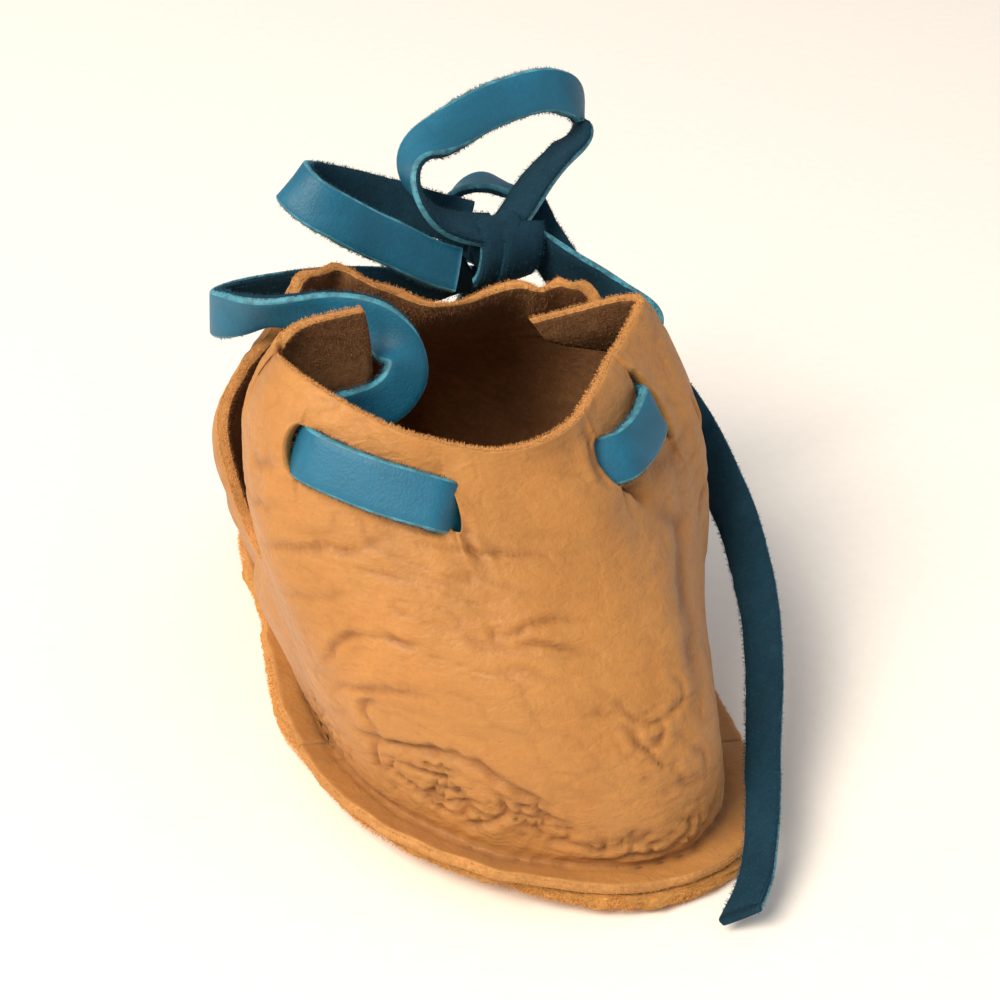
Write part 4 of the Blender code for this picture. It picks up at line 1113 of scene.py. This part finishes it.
def make_sole():
    """Thick sueded plate with a ragged, layered cut edge; its rim curls up with the flange."""
    around, edge, out, lift = sole_outline()
    middle = edge[:, :2].mean(0)
    swell = 0.35 * waver(around, 0 * around, 6.0, 61) + 0.2 * waver(around, 0 * around, 2.2, 62)

    def ring(part, curl, level, beyond=0.0):
        made = np.empty((len(around), 3))
        made[:, :2] = middle + (edge[:, :2] - middle) * part + out[:, :2] * np.reshape(beyond, (-1, 1))
        made[:, 2] = level + lift * curl
        return made

    rings = [ring(part, curl, SOLE_THICK, 0.0) for part, curl in SOLE_RINGS[::-1]]
    rings[-1] = ring(1.0, 1.0, SOLE_THICK - 0.05, swell - 0.1)
    for level in SOLE_EDGE:
        crown = 0.45 * math.sin(math.pi * level)
        ragged = 0.30 * waver(around, 14.0 * level + 0 * around, 1.3, 63) + swell
        ragged += 0.22 * waver(around, 25.0 * level + 0 * around, 0.7, 64)
        rings.append(ring(1.0, 1.0, SOLE_THICK * (1 - level), crown + ragged))
    rings.append(ring(1.0, 1.0, 0.0, swell - 0.25))
    rings += [ring(part, curl, 0.0) for part, curl in SOLE_RINGS[1:]]
    points = np.stack(rings, 1)
    count, size = points.shape[:2]
    index = np.arange(count * size).reshape(count, size)
    after = np.roll(index, -1, 0)
    quads = np.stack([index[:, :-1], index[:, 1:], after[:, 1:], after[:, :-1]], -1).reshape(-1, 4)
    faces = [tuple(q) for q in quads] + [tuple(index[:, 0]), tuple(index[::-1, -1])]
    piece = make_mesh("sole_leather", points.reshape(-1, 3), faces)
    piece.data.set_sharp_from_angle(angle=math.radians(60))
    dress(piece, "sole_leather", [finish("sole")], "sole")


# ---- stitches ------------------------------------------------------------------------------------
def make_stitches():
    """Short thread stitches sunk in the foot line, one in each pinch of the groove."""
    count = int(FORM.round / STITCH_STEP)
    around = np.linspace(0, FORM.round, count, endpoint=False)
    groove, _, out = FORM.flange(around)
    along = unit(np.cross([0.0, 0.0, 1.0], out))
    rise = np.array([0.0, 0.0, 1.0])
    ring_count, rings, half, girth = 8, 9, 0.95, 0.20
    points, faces = [], []
    for middle, way, beyond in zip(groove, along, out):
        start = len(points)
        centre = middle + 0.15 * beyond - 0.46 * rise
        for k in range(rings):
            part = k / (rings - 1)
            spot = centre + way * half * (2 * part - 1) + rise * 0.16 * math.sin(math.pi * part)
            radius = girth * math.sqrt(max(0.05, 1 - (2 * part - 1) ** 4))
            points += [spot + radius * (math.cos(t) * beyond + math.sin(t) * rise)
                       for t in np.linspace(0, 2 * np.pi, ring_count, endpoint=False)]
        for k in range(rings - 1):
            for m in range(ring_count):
                n = (m + 1) % ring_count
                a, b = start + k * ring_count, start + (k + 1) * ring_count
                faces.append((a + m, a + n, b + n, b + m))
        faces.append(tuple(range(start, start + ring_count))[::-1])
        faces.append(tuple(range(start + (rings - 1) * ring_count, start + rings * ring_count)))
    piece = make_mesh("foot_line_stitches", np.array(points), faces)
    dress(piece, "deerskin", [finish("thread")])


# ---- lace ----------------------------------------------------------------------------------------
# Section of the thong, grain side up: place across, place through the thickness, and finish.
STRAP_SECTION = (
    (-0.45, 0.47, "lace_grain"), (-0.30, 0.50, "lace_grain"), (-0.10, 0.52, "lace_grain"),
    (0.10, 0.52, "lace_grain"), (0.30, 0.50, "lace_grain"), (0.45, 0.47, "lace_line"),
    (0.485, 0.38, "lace_line"), (0.50, 0.18, "lace_line"), (0.505, -0.05, "lace_line"),
    (0.50, -0.30, "lace_flesh"), (0.47, -0.46, "lace_flesh"), (0.30, -0.50, "lace_flesh"),
    (0.10, -0.50, "lace_flesh"), (-0.10, -0.50, "lace_flesh"), (-0.30, -0.50, "lace_flesh"),
    (-0.47, -0.46, "lace_flesh"), (-0.50, -0.30, "lace_flesh"), (-0.505, -0.05, "lace_line"),
    (-0.50, 0.18, "lace_line"), (-0.485, 0.38, "lace_line"),
)
STRAP_FINISHES = ("lace_grain", "lace_line", "lace_flesh")
STRAP_STEP = 0.7
STRAPS = {}               # middle line, width and face of each made strap, which the fibres follow


def smooth_line(points, spacing):
    """Points every spacing millimetres on a smooth curve through rows of any width."""
    points = np.asarray(points, float)
    steps = np.linalg.norm(np.diff(points[:, :3], axis=0), axis=1)
    knots = np.concatenate([[0.0], np.cumsum(steps)])
    at = np.linspace(0.0, knots[-1], max(4, int(round(knots[-1] / spacing)) + 1))
    return np.stack([spline(knots, points[:, k], at) for k in range(points.shape[1])], -1)


def wall_frame(around, height):
    """Point of the quarter's outer face with its directions: along the lace, up the wall, outward."""
    a, t = np.meshgrid([around - 0.5, around, around + 0.5], [height - 0.01, height, height + 0.01],
                       indexing="ij")
    grid = quarter_wall(a, t)
    along = unit(grid[2, 1] - grid[0, 1])
    outward = unit(np.cross(along, grid[1, 2] - grid[1, 0]))
    return grid[1, 1], along, unit(np.cross(outward, along)), outward


def collar_route():
    """Middle line and width of the lace through the four slits: out at a and c, in at b and d."""
    marks = [(SLITS["a"][0] - 0.5 * THROUGH - LACE_TAIL, SLITS["a"][1], OFF_INSIDE)]
    side = OFF_INSIDE
    for around, height in SLITS.values():
        marks.append((around - 0.5 * THROUGH, height, side))
        side = OFF_OUTSIDE if side == OFF_INSIDE else OFF_INSIDE
        marks.append((around + 0.5 * THROUGH, height, side))
    marks.append((SLITS["d"][0] + 0.5 * THROUGH + LACE_TAIL, SLITS["d"][1], OFF_INSIDE))
    around, height, off = (np.array(c) for c in zip(*marks))
    fine = np.arange(around[0], around[-1], 0.6)
    level, stand = np.interp(fine, around, height), np.interp(fine, around, off)
    for _ in range(3):
        stand = np.convolve(np.pad(stand, 1, mode="edge"), (0.25, 0.5, 0.25), mode="valid")
    frames = [wall_frame(a, h) for a, h in zip(fine, level)]
    middle = np.array([place + outward * s for (place, _, _, outward), s in zip(frames, stand)])
    return middle, np.array([up for _, _, up, _ in frames])


def end_left_route():
    """Middle line and width of the end that lies on the vamp."""
    rows = smooth_line(END_LEFT, 0.35)
    places, sides = [], []
    for around, height, off in rows:
        a, t = np.meshgrid([around, around + 0.5], [height, height + 0.01], indexing="ij")
        near = FORM.wall(a, t)
        outward = unit(np.cross(near[1, 0] - near[0, 0], near[0, 1] - near[0, 0]))
        places.append(near[0, 0] + outward * off)
        sides.append(outward)
    places, sides = np.array(places), np.array(sides)
    middle = smooth_line(places, STRAP_STEP)
    sides = np.stack([np.interp(np.linspace(0, 1, len(middle)), np.linspace(0, 1, len(sides)), sides[:, k])
                      for k in range(3)], -1)
    return middle, np.cross(sides, np.gradient(middle, axis=0))


def make_strap(name, middle, wide, grain_side, seed, point=0.0, narrow=0.0):
    """Flat thong along a middle line; its far end is narrower, and cut at a slant of point millimetres."""
    along = unit(np.gradient(middle, axis=0))
    wide = unit(wide - along * (wide * along).sum(-1, keepdims=True))
    face = np.cross(along, wide) * grain_side
    count = len(middle)
    length = np.arange(count) * STRAP_STEP
    table = np.array([row[:2] for row in STRAP_SECTION])
    size = len(table)
    broad = LACE_WIDE * (1 + 0.03 * waver(length, 0 * length + seed, 9.0, 71))
    broad = broad * (1 - narrow * ease((length / length[-1] - 0.45) / 0.5))
    deep = LACE_THICK * (1 + 0.05 * waver(length, 0 * length + seed, 6.0, 72))
    across = table[None, :, 0] * broad[:, None]
    through = table[None, :, 1] * deep[:, None]
    edge = np.abs(table[:, 0]) > 0.46
    flesh = table[:, 1] < 0.1
    rough = 0.10 * waver(length[:, None] + 0 * across, across * 1.3 + 3 * seed, 1.1, 73)
    across = across + np.sign(across) * rough * (edge & flesh)
    through = through + 0.5 * rough * (flesh & ~edge)
    rings = (middle[:, None] + wide[:, None] * across[..., None] + face[:, None] * through[..., None])
    if point:
        rings[-1] += along[-1] * (across[-1] / broad[-1] * point)[:, None]
        rings[-2] += along[-2] * (across[-2] / broad[-2] * point * 0.6)[:, None]
    index = np.arange(count * size).reshape(count, size)
    ahead = np.roll(np.arange(size), -1)
    quads = np.stack([index[:-1], index[1:], index[1:][:, ahead], index[:-1][:, ahead]], -1)
    if grain_side > 0:
        quads = quads[..., ::-1]
    finishes = [STRAP_FINISHES.index(row[2]) for row in STRAP_SECTION]
    faces = [tuple(q) for q in quads.reshape(-1, 4)]
    slots = finishes * (count - 1)
    caps = [tuple(index[0]), tuple(index[-1][::-1])]
    faces += caps if grain_side > 0 else [cap[::-1] for cap in caps]
    slots += [2, 2]
    piece = make_mesh(name + "_thong", rings.reshape(-1, 3), faces, slots)
    STRAPS[name] = (middle, wide * (broad / LACE_WIDE)[:, None], face)
    return dress(piece, "lace_leather", [finish(f) for f in STRAP_FINISHES], name)


def trim_at_knot(middle, wide):
    """Ends a stretch inside the knot's wraps, where its solid stops."""
    away = np.abs((middle - np.array(KNOT)) / (0.5 * np.array(KNOT_SIZE)))
    keep = np.linalg.norm(away, axis=1) > 0.35
    return middle[keep], wide[keep]


def make_collar_lace():
    middle, wide = collar_route()
    make_strap("lace_collar", middle, wide, 1, 1)


def make_free_lace():
    """Runs, loops and ends of the bow, each on the frame's own route."""
    for number, (name, (grain_side, lay, far_end)) in enumerate(STRETCHES.items()):
        if name == "lace_end_left":
            middle, wide = end_left_route()
        else:
            line = smooth_line(CORDS[name], STRAP_STEP)
            middle, wide = line[:, :3], line[:, 3:]
        middle, wide = trim_at_knot(middle, wide)
        slant = 3.0 if far_end == "bare" else 0.0
        narrow = 0.3 if far_end == "bare" else 0.0
        piece = make_strap(name, middle, wide, grain_side, 2 + number, slant, narrow)
        path = to_frame(middle)


def make_knot():
    """The knot's core with the wraps of the thong that cross in front of it."""
    turns = np.linspace(-0.15, 1.2, 46)
    angle = 2 * np.pi * turns
    centre = np.array(KNOT)
    middle = centre + np.stack([3.4 * (turns - 0.5), -3.6 * np.cos(angle), 4.3 * np.sin(angle)], -1)
    wide = np.broadcast_to(np.array([1.0, 0.15, 0.1]), middle.shape)
    make_strap("lace_knot", middle, wide, 1, 20)
    bpy.ops.mesh.primitive_uv_sphere_add(segments=32, ring_count=20, radius=0.5)
    core = bpy.context.object
    core.name = core.data.name = "knot_core"
    size = [0.72 * v * MM for v in KNOT_SIZE]
    core.data.transform(Matrix.Translation(Vector(to_frame(KNOT))) @ Matrix.Diagonal((*size, 1.0)))
    core.data.shade_smooth()
    dress(core, "lace_leather", [finish("lace_flesh")])


# ---- nap of cut edges ----------------------------------------------------------------------------
def leather_nap():
    """Short fibres on the cut rims, the flange's edge and the flap's flesh side."""
    rng = np.random.default_rng(81)
    reach = settings().leather.nap_length / MM
    roots, ways, flesh_roots, flesh_ways = [], [], [], []
    for outer, inner, _ in SHEETS.values():
        top = unit(outer[:, -1] - outer[:, -3])
        for part in (0.1, 0.3, 0.5, 0.7, 0.9):
            line = outer[:, -1] + (inner[:, -1] - outer[:, -1]) * part + 0.25 * top
            found = scatter(line, top + 0.8 * (part - 0.4) * unit(inner[:, -1] - outer[:, -1]), 9, rng, 0.55)
            roots.append(found[0])
            ways.append(found[1])
        foot = unit(outer[:, 0] - outer[:, 2])
        for part in (0.2, 0.5, 0.8):
            line = outer[:, 0] + (inner[:, 0] - outer[:, 0]) * part + 0.2 * foot
            found = scatter(line, foot, 5, rng, 0.55)
            roots.append(found[0])
            ways.append(found[1])
        inward = unit(inner - outer)
        for j in range(inner.shape[1] - 1, inner.shape[1] - 26, -1):
            found = scatter(inner[:, j], 0.8 * inward[:, j] + 0.5 * top, 5.0, rng, 0.6)
            flesh_roots.append(found[0])
            flesh_ways.append(found[1])
    return (np.concatenate(roots), np.concatenate(ways), np.concatenate(flesh_roots),
            np.concatenate(flesh_ways), reach, rng)


def make_leather_nap():
    roots, ways, flesh_roots, flesh_ways, reach, rng = leather_nap()
    lengths = reach * rng.uniform(0.35, 1.3, len(roots))
    dress(fibre_mesh("cut_edge_nap", roots, ways, lengths, 0.045), "deerskin", [finish("fibre")])
    lengths = reach * rng.uniform(0.5, 1.5, len(flesh_roots))
    dress(fibre_mesh("flesh_nap", flesh_roots, flesh_ways, lengths, 0.045), "deerskin",
          [finish("flesh_fibre")])


def make_sole_nap():
    rng = np.random.default_rng(82)
    reach = settings().leather.nap_length / MM
    _, edge, out, lift = sole_outline()
    roots, ways = [], []
    for level in np.linspace(0.04, 0.97, 9):
        line = edge + out * 0.45 * math.sin(math.pi * level)
        line[:, 2] = SOLE_THICK * (1 - level) + lift
        line = np.append(line, line[:1], 0)
        way = np.append(out, out[:1], 0) + np.array([0.0, 0.0, 0.5 - level])
        found = scatter(line, way, 5.0, rng, 0.5)
        roots.append(found[0])
        ways.append(found[1])
    roots, ways = np.concatenate(roots), np.concatenate(ways)
    keep = roots[:, 2] > 0.35
    roots, ways = roots[keep], ways[keep]
    lengths = reach * rng.uniform(0.5, 1.5, len(roots))
    dress(fibre_mesh("sole_edge_nap", roots, ways, lengths, 0.05), "sole_leather", [finish("sole_fibre")])


def make_lace_nap():
    rng = np.random.default_rng(83)
    reach = settings().lace.nap_length / MM
    roots, ways = [], []
    for middle, wide, face in STRAPS.values():
        for side in (-1, 1):
            for level in (0.05, -0.2, -0.42):
                line = middle + wide * (0.5 * side * LACE_WIDE) + face * (level * LACE_THICK)
                found = scatter(line, wide * side - 0.5 * face, 5.0, rng, 0.5)
                roots.append(found[0])
                ways.append(found[1])
        for across in np.linspace(-0.42, 0.42, 6):
            line = middle + wide * (across * LACE_WIDE) - face * (0.5 * LACE_THICK)
            found = scatter(line, -face, 2.0, rng, 0.7)
            roots.append(found[0])
            ways.append(found[1])
    roots, ways = np.concatenate(roots), np.concatenate(ways)
    keep = roots[:, 2] > 0.3
    roots, ways = roots[keep], ways[keep]
    lengths = reach * rng.uniform(0.4, 1.4, len(roots))
    dress(fibre_mesh("lace_nap", roots, ways, lengths, 0.04), "lace_leather", [finish("lace_fibre")])


# ---- stage ---------------------------------------------------------------------------------------
EYE = (-106.8, -171.7, 180.0)
LOOK_AT = (0.0, 46.0, 36.8)
CAMERA_ROLL = 4.1         # degrees, so that the shoe leans as it is seen
LENS = 75.0
KEY_PLACE = (-940.0, -330.0, 1060.0)
KEY_SIZE = 720.0
FLOOR_SIZE = 6000.0


def aim(item, target, roll=0.0):
    way = Vector(to_frame(target)) - item.location
    item.rotation_mode = "QUATERNION"
    turn = way.to_track_quat("-Z", "Y")
    item.rotation_quaternion = turn @ Matrix.Rotation(math.radians(roll), 3, "Z").to_quaternion()


def add_light(name, place, target, power, size, colour):
    light = bpy.data.lights.new(name, "AREA")
    light.energy, light.size, light.color = power, size * MM, colour
    item = bpy.data.objects.new(name, light)
    item.location = to_frame(place)
    bpy.context.scene.collection.objects.link(item)
    aim(item, target)
    return item


def make_stage():
    stage = settings().stage
    bpy.ops.mesh.primitive_plane_add(size=FLOOR_SIZE * MM, location=(0.0, 0.0, 0.0))
    floor = bpy.context.object
    floor.name = "floor"
    floor.data.materials.append(plain_finish("floor_paper", stage.floor_colour, 0.9, 0.0, 0.4, 0.015))
    add_light("window", KEY_PLACE, (0, 60, 20), stage.key_power, KEY_SIZE, (1.0, 0.90, 0.76))
    world = bpy.data.worlds.new("room")
    world.use_nodes = True
    sky = world.node_tree.nodes["Background"]
    sky.inputs["Color"].default_value = (0.98, 0.98, 1.0, 1.0)
    sky.inputs["Strength"].default_value = stage.fill
    bpy.context.scene.world = world
    bpy.context.scene.view_settings.view_transform = "Standard"
    camera = bpy.data.objects.new("camera", bpy.data.cameras.new("camera"))
    camera.data.lens = LENS
    camera.data.clip_start = 0.01
    camera.location = to_frame(EYE)
    bpy.context.scene.collection.objects.link(camera)
    aim(camera, LOOK_AT, CAMERA_ROLL)
    bpy.context.scene.camera = camera


# ---- operators -----------------------------------------------------------------------------------
class MakeStage(bpy.types.Operator):
    """Pale floor, window light and camera"""
    bl_idname = "moccasin.stage"
    bl_label = "Stage"

    def execute(self, context):
        make_stage()
        return {"FINISHED"}


class MakeFreeLace(bpy.types.Operator):
    """Runs, loops and ends of the bow, and its knot"""
    bl_idname = "moccasin.bow"
    bl_label = "Bow and lace ends"

    def execute(self, context):
        make_free_lace()
        make_knot()
        return {"FINISHED"}


class MakeCollarLace(bpy.types.Operator):
    """The lace where it runs through the collar's four slits"""
    bl_idname = "moccasin.collar_lace"
    bl_label = "Collar lace"

    def execute(self, context):
        make_collar_lace()
        return {"FINISHED"}


class MakeQuarter(bpy.types.Operator):
    """The leather that wraps the heel, with its creases and slits"""
    bl_idname = "moccasin.quarter"
    bl_label = "Quarter"

    def execute(self, context):
        make_quarter()
        return {"FINISHED"}


class MakeVamp(bpy.types.Operator):
    """The leather over the toes, with its standing throat edge"""
    bl_idname = "moccasin.vamp"
    bl_label = "Vamp"

    def execute(self, context):
        make_vamp()
        return {"FINISHED"}


class MakeSole(bpy.types.Operator):
    """Sueded sole with its ragged edge"""
    bl_idname = "moccasin.sole"
    bl_label = "Sole"

    def execute(self, context):
        make_sole()
        return {"FINISHED"}


class MakeStitches(bpy.types.Operator):
    """Thread stitches in the foot line"""
    bl_idname = "moccasin.stitches"
    bl_label = "Stitches"

    def execute(self, context):
        make_stitches()
        return {"FINISHED"}


class MakeNap(bpy.types.Operator):
    """Fibres on the cut edges and flesh sides of leather and lace"""
    bl_idname = "moccasin.nap"
    bl_label = "Nap"

    def execute(self, context):
        if not SHEETS or not STRAPS:
            raise RuntimeError("make the leather and the lace first: the nap grows on them")
        make_leather_nap()
        make_sole_nap()
        make_lace_nap()
        return {"FINISHED"}


OPERATORS = (MakeStage, MakeFreeLace, MakeCollarLace, MakeQuarter, MakeVamp, MakeSole, MakeStitches, MakeNap)


class MoccasinPanel(bpy.types.Panel):
    bl_idname = "VIEW3D_PT_moccasin"
    bl_label = "Baby Moccasin"
    bl_space_type = "VIEW_3D"
    bl_region_type = "UI"
    bl_category = "Moccasin"

    def draw(self, context):
        groups = context.scene.moccasin
        for group in (groups.leather, groups.lace, groups.stage):
            box = self.layout.box()
            for key in group.bl_rna.properties.keys():
                if key not in ("rna_type", "name"):
                    box.prop(group, key)
        for operator in OPERATORS:
            self.layout.operator(operator.bl_idname)


CLASSES = (LeatherSettings, LaceSettings, StageSettings, MoccasinSettings, *OPERATORS, MoccasinPanel)


def register():
    for item in CLASSES:
        bpy.utils.register_class(item)
    bpy.types.Scene.moccasin = PointerProperty(type=MoccasinSettings)


def unregister():
    del bpy.types.Scene.moccasin
    for item in reversed(CLASSES):
        bpy.utils.unregister_class(item)


def main():
    register()
    bpy.ops.moccasin.stage()
    bpy.ops.moccasin.bow()
    bpy.ops.moccasin.collar_lace()
    bpy.ops.moccasin.quarter()
    bpy.ops.moccasin.vamp()
    bpy.ops.moccasin.sole()
    bpy.ops.moccasin.stitches()
    bpy.ops.moccasin.nap()


if __name__ == "__main__":
    main()
